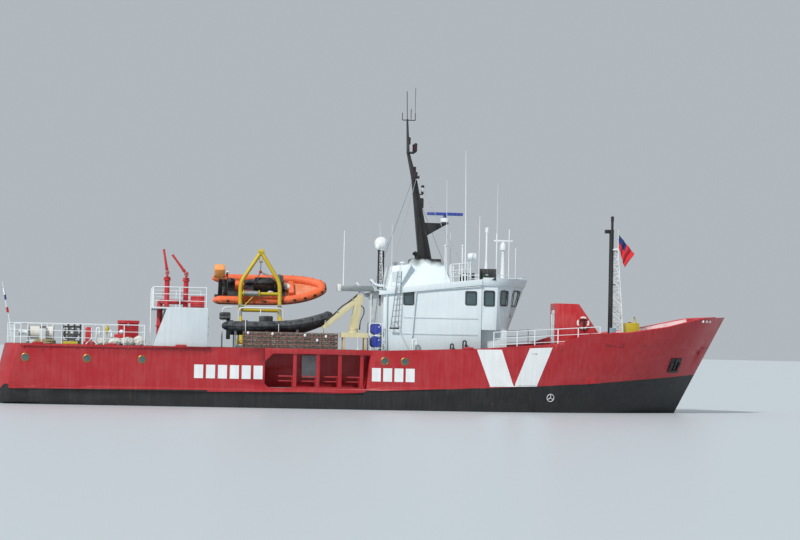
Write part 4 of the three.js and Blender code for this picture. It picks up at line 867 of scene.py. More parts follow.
# Crate of dark recycled-plastic slats with a fender in it, and the red steel locker further
# forward, with its hinges, hasp and lid ribs.
dark_plastic = weathered("moulded_polyethylene_black", "#23282c", 0.6, fade=0.9)
fire_enamel = weathered("alkyd_enamel_fire_red", "#c01622", 0.35, rust=0.2)
dressed("deck_crate", dark_plastic, "slatted_crate", 0.012)
fender = turned("crate_fender", (-16.02, -1.6, 3.27), upward, [
    (0, 0.12), (0.04, 0.27), (0.18, 0.36), (0.42, 0.38), (0.6, 0.3), (0.68, 0.14), (0.74, 0.05),
], mark_enamel, 28)
settle(fender, "white_plastic")
dressed("deck_locker", fire_enamel, "deck_locker_body", 0.02)
locker_bits = []
for x in (-13.4, -13.05, -12.72):
    locker_bits.append(block("rib", (x, -2.03, 4.335), (x + 0.05, -0.97, 4.352), fire_enamel, 0.01))
for x in (-13.4, -12.9):
    hinge_pin = [(0, 0.02), (0.16, 0.02)]
    locker_bits.append(turned("hinge", (x, -0.955, 4.2), forward, hinge_pin, galvanised, 12))
locker_bits += [block("hasp", (-13.12, -2.03, 4.02), (-13.03, -2, 4.24), galvanised, 0.006)]
settle(joined("locker_fittings", locker_bits), "galvanised_steel")

# Gear on the after deck: a yellow fairlead step, a red pump with its tripod, swan-neck tank vents, a
# yellow marker float, and canvas bags of working gear with a white fender ball among them.


def bag(at, size, coat, lumps=5):
    """A soft bag or bundle that sags on the deck: a ball flattened below and creased by its load."""
    bpy.ops.object.select_all(action="DESELECT")
    bpy.ops.mesh.primitive_ico_sphere_add(subdivisions=4, radius=0.5)
    piece = bpy.context.object
    for vertex in piece.data.vertices:
        spot = Vector(vertex.co)
        fold = abs(noise.noise(spot * lumps * 2.2))
        crease = 1 + 0.16 * noise.noise(spot * lumps + Vector(at)) - 0.09 * fold
        height = max(0, spot.z * crease + 0.34)
        vertex.co = (
            at[0] + spot.x * crease * size[0], at[1] + spot.y * crease * size[1], at[2] + height * size[2],
        )
    return coated(piece, "bag", coat, 60)


def bent(points, reach):
    """A route with each corner rounded over the given reach on both sides."""
    places = [Vector(p) for p in points]
    route = [places[0]]
    for before, corner, after in zip(places, places[1:], places[2:]):
        start = corner + (before - corner).normalized() * min(reach, (before - corner).length * 0.45)
        end = corner + (after - corner).normalized() * min(reach, (after - corner).length * 0.45)
        for t in (0, 0.25, 0.5, 0.75, 1):
            route.append(start.lerp(corner, t).lerp(corner.lerp(end, t), t))
    return route + [places[-1]]


def swan_neck(foot, rise, reach, coat, radius=0.045):
    """A tank vent: a pipe that turns over at the top and ends in a float box."""
    foot = Vector(foot)
    neck = bent(
        [foot, foot + aloft(rise), foot + Vector((reach, 0, rise)), foot + Vector((reach, 0, rise - 0.2))],
        0.1,
    )
    box = [(0, 0.06), (0.02, 0.075), (0.12, 0.075), (0.14, 0.045)]
    return [
        pipework("neck", [(neck, radius)], coat, 3),
        turned("float_box", foot + Vector((reach, 0, rise - 0.32)), upward, box, coat, 18),
    ]


davit_enamel = weathered("alkyd_enamel_davit_yellow", "#c9b11a", 0.42, rust=0.45)
canvas = weathered("bleached_cotton_canvas", "#dcdcd6", 0.92, fade=1)
tripod_feet = [(-14.92, -3.9, 3.93), (-15.2, -3.95, 3.07), (-14.62, -3.95, 3.07), (-14.92, -3.6, 3.07)]
gear = [
    block("step", (-16.44, -4.26, deck_z), (-15.6, -4, 3.2), davit_enamel, 0.02),
    block("pump", (-15.25, -3.2, 3.2), (-14.9, -2.8, 3.95), fire_enamel, 0.05),
    block("pump_base", (-15.4, -3.3, deck_z), (-14.75, -2.7, 3.22), fire_enamel, 0.02),
    pipework("tripod", [([(-14.92, -3.9, 3.37), foot], 0.03) for foot in tripod_feet], white_enamel),
    block("box", (-13.78, -3.6, deck_z), (-13.28, -3.2, 3.62), fire_enamel, 0.03),
    turned(
        "fender_ball", (-13.42, -3.4, 3.61), upward,
        [(0, 0.04), (0.03, 0.09), (0.11, 0.13), (0.19, 0.1), (0.24, 0.03)], mark_enamel,
    ),
    turned(
        "float", (-14.15, -3, deck_z), upward,
        [
            (0, 0.12), (0.03, 0.12), (0.04, 0.02), (0.58, 0.02), (0.62, 0.08), (0.8, 0.11), (0.92, 0.06),
            (1.05, 0.015),
        ],
        davit_enamel, 20,
    ),
    bag((-14.35, -3.75, 3.06), (0.62, 0.5, 0.42), canvas),
    bag((-13.75, -3.9, 3.06), (0.7, 0.5, 0.46), canvas, 4),
    bag((-13.1, -3.85, 3.06), (0.75, 0.55, 0.5), canvas),
    bag((-12.5, -3.8, 3.06), (0.6, 0.5, 0.6), canvas, 6),
]
gear += swan_neck((-14.06, -3.95, deck_z), 0.72, 0.15, white_enamel)
gear += swan_neck((-14.68, -3.5, deck_z), 0.85, 0.15, white_enamel)
settle(joined("after_deck_gear", gear), "white_plastic")

# Casings and platform: box-welded steel plate in pale grey enamel, with a round-edged weathertight
# door inboard, dogged manhole covers and louvred air inlets.
casing_enamel = weathered("alkyd_enamel_casing_grey", "#cfd9df", 0.42, rust=0.35, seams=1.1, fade=0.4)
dressed("casing", casing_enamel, "casing_plating", 0.02)
louvres = []
for side in (-1, 1):
    for k in range(7):
        z = 4.1 + 0.07 * k
        louvres.append(block(
            "blade", (-10.1, min(side * 2.44, side * 2.40), z),
            (-9.4, max(side * 2.44, side * 2.40), z + 0.05), galvanised, 0.01,
        ))
    louvres.append(block(
        "cover", (-9.06, side * 3.3 - 0.35, 3.5), (-9.02, side * 3.3 + 0.35, 4.7), casing_enamel, 0.015,
    ))
    for z in (3.7, 4.1, 4.5):
        louvres.append(turned(
            "dog", (-9.02, side * 3.3 - 0.3, z), forward, [(0, 0.025), (0.04, 0.02)], galvanised, 10,
        ))
settle(joined("casing_fittings", louvres), "galvanised_steel")

# Platform rails and ladder: the same white tube as at the stern, with a light ladder up the
# after side.
platform_z = 5.0503
platform_feet = [(x, -4.2, platform_z) for x in (-9.15, -10.5)]
platform_feet += [(-11.84, y, platform_z) for y in (-4.2, -2.8, -1.4, 0, 1.4, 2.8, 4.2)]
platform_feet += [(x, 4.2, platform_z) for x in (-10.5, -9.15)]
platform_runs = rail_runs(platform_feet, 1.05)
for y in (-3.95, -3.55):
    platform_runs.append((
        [(-11.96, y, deck_z), (-11.96, y, 5.85), (-11.93, y, 5.98), (-11.84, y, 6.06)], 0.026,
    ))
for k in range(9):
    z = 3.35 + 0.3 * k
    platform_runs.append(([(-11.96, -3.95, z), (-11.96, -3.55, z)], 0.017))
settle(pipework("platform_rail_pipes", platform_runs, white_enamel), "white_paint", "platform_rails")

# Fire main: welded and flanged steel pipe with gate valves, red enamel throughout; the hose reel
# stands on its branch.
riser_foot = Vector((-11.48, -2.05, deck_z))
pumps = [("a", Vector((-11.15, -3, 6.83)), 80), ("b", Vector((-10.15, -1.9, 6.83)), 53)]
main_pieces = [
    turned(
        "riser", riser_foot, upward,
        [(0, 0.2), (0.04, 0.2), (0.06, 0.15), (2.2, 0.15), (2.3, 0.13), (2.34, 0.03)], fire_enamel, 28,
    ),
]
flange_shape = [(0, 0.147), (0, 0.21), (0.03, 0.21), (0.03, 0.147)]
for z in (1, 1.03):
    main_pieces.append(turned("flange", riser_foot + aloft(z), upward, flange_shape, fire_enamel))
branches = []
for letter, pivot, tilt_angle in pumps:
    branches.append(([(-11.48, -2.05, 5.35), (pivot.x, pivot.y, 5.35)], 0.12))
    main_pieces.append(turned("pedestal", (pivot.x, pivot.y, platform_z), upward, [
        (0, 0.23), (0.03, 0.23), (0.04, 0.15), (0.1, 0.13), (1.38, 0.13), (1.39, 0.19), (1.4495, 0.19),
    ], fire_enamel, 28))
    for u, v in circle(8, 0.195)[:-1]:
        main_pieces.append(turned(
            "bolt", (pivot.x + u, pivot.y + v, 5.08), upward, [(0, 0.018), (0.025, 0.018), (0.03, 0.01)],
            galvanised, 6,
        ))
    wheel = Vector((pivot.x - 0.2, pivot.y, 5.75))
    rim = [wheel + Vector((0, u, v)) for u, v in circle(20, 0.13)]
    branches += [
        (rim, 0.012), ([rim[0], rim[10]], 0.009), ([rim[5], rim[15]], 0.009),
        ([wheel, wheel + Vector((0.14, 0, 0))], 0.02),
    ]
branches.append(([(-10.15, -1.9, 5.35), (-9.9, -2.7, 5.35), (-9.6, -3.7, 5.35)], 0.06))
main_pieces.append(pipework("branches", branches, fire_enamel))
black_rubber = weathered("vulcanised_rubber_black", "#15171a", 0.7, fade=0.6)
hose_blue = weathered("wound_lay_flat_hose_blue", "#2f6fc0", 0.7)
for y0 in (-4.05, -3.65):
    main_pieces.append(block(
        "reel_frame", (-9.95, y0, platform_z), (-9.25, y0 + 0.04, 5.65), fire_enamel, 0.012,
    ))
main_pieces.append(block("reel_base", (-9.95, -4.05, platform_z), (-9.25, -3.6, 5.11), fire_enamel, 0.01))
hose_turns = [(0, 0.1)]
for k in range(8):
    hose_turns += [(0.02 + 0.0375 * k + d, r) for d, r in ((0, 0.235), (0.018, 0.25), (0.034, 0.235))]
main_pieces.append(turned("hose", (-9.6, -4, 5.37), to_port, hose_turns + [(0.33, 0.1)], hose_blue, 28))
settle(joined("fire_main_pipes", main_pieces), "fire_paint", "fire_main")

# Fire monitors: bronze swivels under red enamel. Each head turns on its pedestal with a worm
# drive, and its barrel ends in a stream shaper.
for letter, pivot, tilt_angle in pumps:
    head = [
        turned(
            "swivel", (pivot.x, pivot.y, 6.5), upward,
            [(0, 0.17), (0.05, 0.17), (0.07, 0.15), (0.10, 0.17), (0.12, 0.17)], fire_enamel, 28,
        ),
        turned(
            "worm", (pivot.x, pivot.y - 0.2, pivot.z), (0, -1, 0),
            [(0, 0.05), (0.03, 0.06), (0.1, 0.06), (0.12, 0.045), (0.22, 0.045)], fire_enamel, 16,
        ),
    ]
    wheel = Vector((pivot.x, pivot.y - 0.41, pivot.z))
    rim = [wheel + Vector((u, 0, v)) for u, v in circle(20, 0.1)]
    head.append(pipework(
        "wheel", [(rim, 0.01), ([rim[0], rim[10]], 0.008), ([rim[5], rim[15]], 0.008)], galvanised,
    ))
    for side in (-1, 1):
        y0, y1 = sorted((pivot.y + side * 0.12, pivot.y + side * 0.2))
        head.append(block(
            "cheek", (pivot.x - 0.06, y0, 6.56), (pivot.x + 0.06, y1, pivot.z + 0.06), fire_enamel, 0.02,
        ))
    settle(
        joined("monitor_%s_swivel" % letter, head), "fire_paint", "monitor_%s_head" % letter,
        body="monitor_%s_turret" % letter,
    )
    rise = math.radians(tilt_angle)
    aim = Vector((-math.cos(rise), 0, math.sin(rise)))
    barrel = [
        turned(
            "trunnion", pivot + Vector((0, -0.1197, 0)), to_port,
            [(0, 0.08), (0.02, 0.11), (0.219, 0.11), (0.2394, 0.08)], fire_enamel, 28,
        ),
        turned("barrel", pivot, aim, [
            (0, 0.075), (0.2, 0.075), (0.22, 0.09), (0.26, 0.09), (0.28, 0.072),
            (0.99, 0.055), (1, 0.068), (1.03, 0.068),
            (1.05, 0.058), (1.2, 0.064), (1.23, 0.068), (1.23, 0.055), (1.1, 0.045),
        ], fire_enamel),
        turned(
            "counter", pivot, -aim, [(0, 0.03), (0.1, 0.03), (0.11, 0.045), (0.145, 0.045), (0.15, 0.03)],
            fire_enamel, 16,
        ),
    ]
    settle(
        joined("monitor_%s_tube" % letter, barrel), "fire_paint", "monitor_%s_barrel" % letter,
        body="monitor_%s_nozzle" % letter,
    )

# Davit: an A frame of heavy steel tube on deck pedestals, in chrome-yellow enamel, with the hoisting
# winch on its cross tube. Two hydraulic rams with chromed rods push it out over the port side.
chrome_plate = two_tone("hard_chrome_plated_rod", "#aeb2b6", "#dadde0", 0.13, 1, 9)
hinge, knee, apex = Vector((0, 1, 3.36)), 6.55, Vector((-6.06, 1.6, 8.23))
frame_lean = (apex.y - hinge.y) / (apex.z - hinge.z)
leg_places = (-7.15, -5.03)


def on_frame(x, z):
    """A place in the plane of the A frame."""
    return Vector((x, hinge.y + (z - hinge.z) * frame_lean, z))


frame_runs = []
for x in leg_places:
    frame_runs.append((bent([(x, hinge.y, hinge.z), on_frame(x, knee), apex], 0.35), 0.11))
frame_runs += [
    ([on_frame(leg_places[0], 5.08), on_frame(leg_places[1], 5.08)], 0.11),
    ([on_frame(leg_places[0], 5.96), on_frame(leg_places[1], 5.96)], 0.09),
    ([on_frame(leg_places[0], 5.08), on_frame(-6.3, 5.96)], 0.03),
]
davit_parts = [pipework("tubes", frame_runs, davit_enamel, 4)]
drum_at = on_frame(-7, 5.96)
wire_turns = [(0.06, 0.14)] + [
    (0.08 + 0.03 * k + d, r) for k in range(24) for d, r in ((0, 0.148), (0.015, 0.156))
] + [(0.82, 0.14)]
davit_parts += [
    turned(
        "head", apex - Vector((0.16, 0, 0)), forward, [(0, 0.08), (0.02, 0.14), (0.3, 0.14), (0.32, 0.08)],
        davit_enamel, 28,
    ),
    turned(
        "drum_end", drum_at, forward, [(0, 0.1), (0, 0.19), (0.05, 0.19), (0.05, 0.1)], davit_enamel, 28,
    ),
    turned(
        "drum_end", drum_at + Vector((0.83, 0, 0)), forward,
        [(0, 0.1), (0, 0.19), (0.05, 0.19), (0.05, 0.1)], davit_enamel, 28,
    ),
    turned("wire", drum_at, forward, wire_turns, galvanised),
    turned("pin", (apex.x - 0.09, apex.y, 7.7), forward, [(0, 0.029), (0.18, 0.029)], chrome_plate, 20),
]
for shift in (-0.1, 0.075):
    davit_parts.append(block(
        "lug", (apex.x + shift, 1.54, 7.64), (apex.x + shift + 0.025, 1.66, 8.2), davit_enamel,
    ))
ram_eye = on_frame(0, hinge.z + 2 * math.cos(math.atan(frame_lean)))
for x in leg_places:
    eye_ring = [(0, 0.051), (0, 0.105), (0.01, 0.11), (0.25, 0.11), (0.26, 0.105), (0.26, 0.051)]
    davit_parts.append(turned("eye", (x - 0.13, hinge.y, hinge.z), forward, eye_ring, davit_enamel, 28))
    for shift in (-0.1, 0.075):
        low = (x + shift, ram_eye.y - 0.27, ram_eye.z - 0.07)
        davit_parts.append(block(
            "ram_lug", low, (x + shift + 0.025, ram_eye.y + 0.04, ram_eye.z + 0.07), davit_enamel,
        ))
settle(joined("davit_a_frame", davit_parts), "davit_paint", "davit_frame", body="davit_arm")
dressed("davit_base", davit_enamel, "davit_pedestals", 0.012)
dressed("davit_ram_barrels", davit_enamel, "davit_cylinders")
dressed("davit_ram_rods", chrome_plate, "davit_piston_rods", 0.002)

# Rescue boat: a moulded hull inside an inflated collar of orange coated fabric, heeled against the
# davit. Lifting wires, steering console, seats, grab lines and an engine under a moulded cowl.
orange_fabric = weathered("coated_fabric_signal_orange", "#ee6a35", 0.62, fade=0.5)
black_fabric = weathered("coated_fabric_dark_blue_grey", "#1d2833", 0.6, fade=0.9)
cowl_plastic = weathered("moulded_cowl_faded_orange", "#f0a055", 0.4)
gelcoat = weathered("gelcoat_black", "#1b1c1f", 0.35, fade=0.6)
rescue_place = Matrix.Translation((-8.6, 2.44, 6.19)) @ Matrix.Rotation(math.radians(40), 4, "X")


def collar_route(length, half, tube, rise):
    """The centre line of an inflated collar, from one stern end round the bow to the other."""
    corners = [
        (0, half, 0), (length * 0.3, half, 0), (length * 0.6, half * 0.98, rise * 0.15),
        (length * 0.8, half * 0.78, rise * 0.5), (length * 0.94, half * 0.36, rise * 0.9),
        (length - tube, 0, rise),
    ]
    starboard = [Vector((x, -y, z)) for x, y, z in corners]
    port = [Vector(corner) for corner in corners[-2::-1]]
    spine = starboard + port
    route = []
    for k in range(len(spine) - 1):
        p0, p1 = spine[max(k - 1, 0)], spine[k]
        p2, p3 = spine[k + 1], spine[min(k + 2, len(spine) - 1)]
        for t in [step / 8 for step in range(8)]:
            bend = (2 * p0 - 5 * p1 + 4 * p2 - p3) * t * t + (3 * p1 - p0 - 3 * p2 + p3) * t ** 3
            route.append(0.5 * (2 * p1 + (p2 - p0) * t + bend))
    return route + [spine[-1]]


def vee_hull(name, start, end, half, depth, rise, coat, deck_coat):
    """A moulded vee bottom: a grid pulled out to its stations, then decked over from rim to rim."""
    bpy.ops.object.select_all(action="DESELECT")
    bpy.ops.mesh.primitive_grid_add(x_subdivisions=14, y_subdivisions=8, size=2)
    piece = bpy.context.object
    rims = {vertex.index for vertex in piece.data.vertices if abs(vertex.co.y) > 0.999}
    bpy.ops.object.mode_set(mode="EDIT")
    bpy.ops.mesh.select_mode(type="EDGE")
    bpy.ops.mesh.select_all(action="DESELECT")
    end_edit()
    for edge in piece.data.edges:
        edge.select = rims.issuperset(edge.vertices)
    bpy.ops.object.mode_set(mode="EDIT")
    bpy.ops.mesh.bridge_edge_loops()
    bpy.ops.mesh.select_all(action="SELECT")
    bpy.ops.mesh.fill_holes(sides=0)
    end_edit()
    for vertex in piece.data.vertices:
        u, v = (vertex.co.x + 1) / 2, vertex.co.y
        full = fair(u, (0, 0.5, 0.75, 0.93, 1), (1, 1, 0.82, 0.35, 0.04))
        up = fair(u, (0, 0.5, 0.75, 0.93, 1), (0, 0.02, 0.25, 0.7, 0.85))
        keel = depth * (1 - up * 0.7) * (1 - abs(v)) ** 0.9
        vertex.co = (start + (end - start) * u, half * full * v, rise * up - keel)
    edit_all()
    bpy.ops.mesh.normals_make_consistent(inside=False)
    end_edit()
    piece.name = name
    piece.data.materials.append(coat)
    piece.data.materials.append(deck_coat)
    for face in piece.data.polygons:
        face.material_index = 1 if face.normal.z > 0.4 else 0
    smooth_edges(piece, 40)
    return piece


def ribcraft(name, place, size, bottom, fabric, seats, deck_coat, cargo=()):
    """An inflatable boat: collar, moulded bottom, deck, rubbing strake, grab line and seats."""
    length, half, tube, rise = size
    route = collar_route(length, half, tube, rise)
    taper = [tube * min(1, 0.35 + 0.4 * k, 0.35 + 0.4 * (len(route) - 1 - k)) for k in range(len(route))]
    parts = [pipework("collar", [(route, taper)], fabric, 6)]
    strake_line, line, patches = [], [], []
    for k, spot in enumerate(route[1:-1], 1):
        along = (route[k + 1] - route[k - 1]).normalized()
        out = along.cross(aloft(1)).normalized()
        strake_line.append(spot + out * tube * 0.99 - aloft(0.02))
        dip = 0.06 * abs(math.sin(k * math.pi / 4))
        line.append(spot + out * (tube * 0.86) + aloft(tube * 0.62 - dip))
        if k % 4 == 0:
            lean_out = out * 0.86 + aloft(0.51)
            seat = spot + lean_out.normalized() * (tube - 0.006)
            patch = [(0, 0.075), (0.012, 0.07), (0.016, 0.02)]
            patches.append(turned("patch", seat, lean_out, patch, black_rubber, 16))
    parts.append(pipework("strake", [(strake_line, 0.03)], black_rubber))
    parts.append(pipework("grab_line", [(line, 0.012)], black_rubber))
    parts += patches
    start, end, bottom_half, depth, bottom_rise = bottom
    parts.append(vee_hull("bottom", start, end, bottom_half, depth, bottom_rise, gelcoat, deck_coat))
    for low, high, coat, edge in seats:
        parts.append(block("fitting", low, high, coat, edge))
    boat = joined(name, parts + list(cargo))
    boat.data.transform(place)
    return boat


rescue_seats = [
    ((0.52, -0.74, -0.1), (0.64, 0.74, 0.42), gelcoat, 0.03),
    ((0.6, -0.72, 0.02), (3.9, 0.72, 0.05), gelcoat, 0.01),
    ((2.2, -0.23, 0.05), (3.3, 0.23, 0.62), gelcoat, 0.08),
    ((2.25, -0.24, 0.6), (3.25, 0.24, 0.7), black_rubber, 0.05),
    ((3.4, -0.33, 0.05), (3.8, 0.33, 0.82), gelcoat, 0.06),
    ((3.52, -0.3, 0.8), (3.6, 0.3, 0.9), window_glass, 0.01),
    ((1.2, -0.2, 0.05), (1.7, 0.2, 0.5), orange_fabric, 0.06),
    ((4.1, -0.5, 0.05), (4.4, 0.5, 0.3), orange_fabric, 0.06),
]
coral_deck = weathered("moulded_gelcoat_coral", "#e08458", 0.5, fade=0.7)
rescue_cargo = [
    bag((1, 0.45, 0.04), (0.5, 0.34, 0.42), black_fabric),
    bag((1.9, -0.5, 0.04), (0.6, 0.34, 0.4), fire_enamel),
    bag((2.1, 0.5, 0.04), (0.7, 0.3, 0.3), black_fabric, 7),
    bag((4.05, 0.1, 0.08), (0.5, 0.5, 0.3), canvas, 6),
    bag((3.1, -0.5, 0.04), (0.4, 0.3, 0.34), canvas, 7),
    pipework(
        "roll_bar",
        [(
            bent(
                [(0.72, -0.68, 0.3), (0.78, -0.5, 0.86), (0.78, 0.5, 0.86), (0.72, 0.68, 0.3)], 0.2,
            ), 0.028,
        )],
        black_rubber, 3,
    ),
    turned(
        "lamp", (0.78, 0.3, 0.87), upward, [(0, 0.03), (0.03, 0.07), (0.1, 0.08), (0.14, 0.03)],
        mark_enamel, 18,
    ),
]
rescue_hull = ribcraft(
    "rescue_boat_hull", rescue_place, (6.15, 0.95, 0.235, 0.26), (0.52, 5.9, 0.9, 0.56, 0.2),
    orange_fabric, rescue_seats, coral_deck, rescue_cargo,
)
lifting = Vector((apex.x, 1.85, 7.15))
link_top = Vector((apex.x, apex.y, 7.7))
slings = []
for local in ((2.3, 0.2, 0.5), (2.3, -0.2, 0.5), (4.3, 0.3, 0.25), (4.3, -0.3, 0.25)):
    slings.append(([lifting, rescue_place @ Vector(local)], 0.014))
sling_parts = [
    pipework("slings", slings, galvanised),
    pipework("fall", [([link_top - aloft(0.06), lifting], 0.022)], galvanised, 3),
    turned(
        "link", link_top - Vector((0.074, 0, 0)), forward,
        [(0, 0.036), (0, 0.058), (0.148, 0.058), (0.148, 0.036)], galvanised,
    ),
    turned(
        "ring", lifting - aloft(0.09), upward,
        [(0, 0.02), (0.03, 0.07), (0.09, 0.09), (0.15, 0.07), (0.18, 0.02)], fire_enamel, 20,
    ),
]
settle(
    joined("rescue_boat_with_slings", [rescue_hull] + sling_parts), "orange_tube", "rescue_boat",
    body="rescue_craft",
)

cowl = [
    block("cowl", (0.04, -0.26, 0.85), (0.62, 0.26, 1.55), cowl_plastic, 0.1),
    block("leg", (0.3, -0.1, -0.48), (0.51, 0.1, 0.87), gelcoat, 0.03),
    block("plate", (0.12, -0.12, -0.5), (0.5, 0.12, -0.46), gelcoat, 0.015),
    turned(
        "gearcase", (0.5, 0, -0.56), (-1, 0, 0),
        [(0, 0.02), (0.05, 0.07), (0.28, 0.075), (0.36, 0.05), (0.38, 0.03)], gelcoat, 20,
    ),
    block("band", (0.038, -0.262, 1.02), (0.622, 0.262, 1.06), black_rubber, 0.01),
]
rescue_engine = joined("rescue_boat_engine", cowl)
rescue_engine.data.transform(rescue_place)
settle(rescue_engine, "orange_cowl", "rescue_boat_motor", body="rescue_craft")

# Workboat: a smaller inflatable in dark coated fabric, lashed down in a welded cradle of galvanised
# section by webbing straps.
work_place = Matrix.Translation((-8.25, -2.78, 4.18))
work_seats = [
    ((0.42, -0.6, -0.1), (0.52, 0.6, 0.3), gelcoat, 0.03),
    ((0.5, -0.52, 0), (4.4, 0.52, 0.05), gelcoat, 0.01),
    ((1.9, -0.25, 0.03), (2.6, 0.25, 0.55), gelcoat, 0.06),
    ((1, -0.45, 0.03), (1.3, 0.45, 0.3), black_rubber, 0.05),
    ((3.2, -0.45, 0.03), (3.5, 0.45, 0.34), black_rubber, 0.05),
]
work_hull = ribcraft(
    "workboat_collar_and_hull", work_place, (5.7, 0.72, 0.25, 0.62), (0.42, 5.5, 0.68, 0.47, 0.42),
    black_fabric, work_seats, gelcoat,
)
settle(work_hull, "black_tube", "workboat")
work_cowl = [
    block("cowl", (-0.16, -0.2, 0.3), (0.41, 0.2, 0.7), gelcoat, 0.08),
    block("leg", (0.2, -0.08, -0.7), (0.41, 0.08, 0.32), gelcoat, 0.03),
    block("band", (-0.162, -0.202, 0.42), (0.412, 0.202, 0.46), galvanised, 0.01),
]
work_engine = joined("workboat_engine", work_cowl)
work_engine.data.transform(work_place)
settle(work_engine, "dark_plastic", "workboat_motor")
dressed("workboat_cradle", galvanised, "cradle_frames", 0.008)
strap_runs = []
for x in (-7.1, -5.4):
    hoop = [
        (x, -3.78, 3.9), (x, -3.76, 4.3), (x, -3.52, 4.46), (x, -2.78, 4.5), (x, -2.04, 4.46),
        (x, -1.8, 4.3), (x, -1.78, 3.9),
    ]
    strap_runs.append((bent(hoop, 0.12), 0.018))
straps = pipework("workboat_straps", strap_runs, mark_enamel)
settle(straps, "white_plastic")

# Pipe guard inboard of the workboat: steel tube bent at its corners, with a mid rail, welded to
# the deck and painted in white enamel.
guard_hoop = [(-7.35, -1.4, deck_z), (-7.35, -1.4, 5.15), (-5.01, -1.4, 5.15), (-5.01, -1.4, deck_z)]
guard_runs = [
    (bent([(-8.2, -1.4, deck_z), (-8.2, -1.4, 5.15), (-7.7, -1.4, 5.15)], 0.25), 0.038),
    (bent(guard_hoop, 0.25), 0.038),
    ([(-6.2, -1.4, deck_z), (-6.2, -1.4, 5.15)], 0.03),
    ([(-8.2, -1.4, 4.3), (-5.01, -1.4, 4.3)], 0.028),
]
guard = pipework("workboat_pipe_guard", guard_runs, white_enamel, 3)
settle(guard, "white_paint", "boat_guard")

# Scramble-net rack: a rusty-brown steel grid along the deck edge, with the rolled climbing nets of
# knotted rope lying in it and round white floats hung on its rail.
rack_enamel = weathered("red_oxide_primer_weathered", "#7d4e43", 0.75, rust=0.9)
net_rope, net_tree, net_shader = new_material("polypropylene_net_rope_grey", "#a9a69c", 0.95)
net_place = add_node(net_tree, "ShaderNodeTexCoord").outputs["Object"]
# The cells between the knotted strands are dark: painted shade in the gaps of the rolled net, with the
# strands left light.
net_mesh_map = add_node(
    net_tree, "ShaderNodeTexVoronoi", {"Vector": net_place, "Scale": 11}, feature="DISTANCE_TO_EDGE",
)
net_ramp = add_node(
    net_tree, "ShaderNodeMapRange", {"Value": net_mesh_map.outputs["Distance"], "From Max": 0.12},
)
add_node(net_tree, "ShaderNodeMix", {
    "Factor": net_ramp.outputs["Result"], 6: linear("#c9c6bb"), 7: linear("#55524c"),
}, net_shader.inputs["Base Color"], 2, data_type="RGBA")
add_node(net_tree, "ShaderNodeBump", {
    "Height": net_ramp.outputs["Result"], "Strength": 0.6, "Distance": -0.02,
}, net_shader.inputs["Normal"])
rack_aft, rack_fore, rack_low, rack_high = -7.26, -2.38, deck_z, 3.9
rack_step, rack_rise = (rack_fore - rack_aft) / 11, (rack_high - rack_low) / 4
rack_parts = []
for k in range(12):
    x = rack_aft + k * rack_step
    rack_parts.append(block(
        "bar", (max(x - 0.025, rack_aft), -4.4, rack_low), (min(x + 0.025, rack_fore), -4.36, rack_high),
        rack_enamel, 0.005,
    ))
for k in range(5):
    z = rack_low + k * rack_rise
    rack_parts.append(block(
        "bar", (rack_aft, -4.398, max(z - 0.025, rack_low)), (rack_fore, -4.362, min(z + 0.025, rack_high)),
        rack_enamel, 0.005,
    ))
for x in (rack_aft, rack_fore - 0.04):
    rack_parts.append(block("end", (x, -4.4, rack_low), (x + 0.04, -4.13, rack_high), rack_enamel, 0.006))
for j in range(4):
    z = rack_low + (j + 0.5) * rack_rise
    lumps = [(0, 0.05), (0.02, 0.08)]
    lumps += [(0.1 + 0.1 * k, 0.083 + 0.01 * math.sin(k * 2.1 + j)) for k in range(47)]
    rack_parts.append(turned(
        "roll", (rack_aft + 0.04, -4.24, z), forward, lumps + [(4.79, 0.05)], net_rope, 18,
    ))
for k in range(1, 11, 3):
    x = rack_aft + k * rack_step
    band = [(x, -4.24 + u, rack_low + 3.5 * rack_rise + v) for u, v in circle(16, 0.1)]
    rack_parts.append(pipework("lashing", [(band, 0.012)], black_rubber))
settle(joined("scramble_net_rack", rack_parts), "rack_paint", "net_rack")
floats = [turned("float", (x, -4.41, z), upward, [
    (0, 0.02), (0.02, 0.04), (0.05, 0.062), (0.08, 0.068), (0.11, 0.062), (0.14, 0.04), (0.16, 0.02),
], mark_enamel, 20) for x, z in ((-7, 3.74), (-5.75, 3.72), (-4.08, 3.68), (-3, 3.64), (-3.45, 3.44))]
settle(joined("net_floats", floats), "white_plastic")

# Boat crane: fabricated column on a slewing ring, box boom with a sliding extension, cream enamel.
# Black hoses run up the column and along the boom, clamped to it.
crane_enamel = weathered("alkyd_enamel_crane_cream", "#cfc69c", 0.45, rust=0.6)
boom_angle = math.radians(-139)


def on_boom(along, up=0, y=-3.9):
    """A place along the crane's boom, measured from its pivot."""
    x = -1.3 + math.cos(boom_angle) * along - math.sin(boom_angle) * up
    z = 5.75 + math.sin(boom_angle) * along + math.cos(boom_angle) * up
    return Vector((x, y, z))


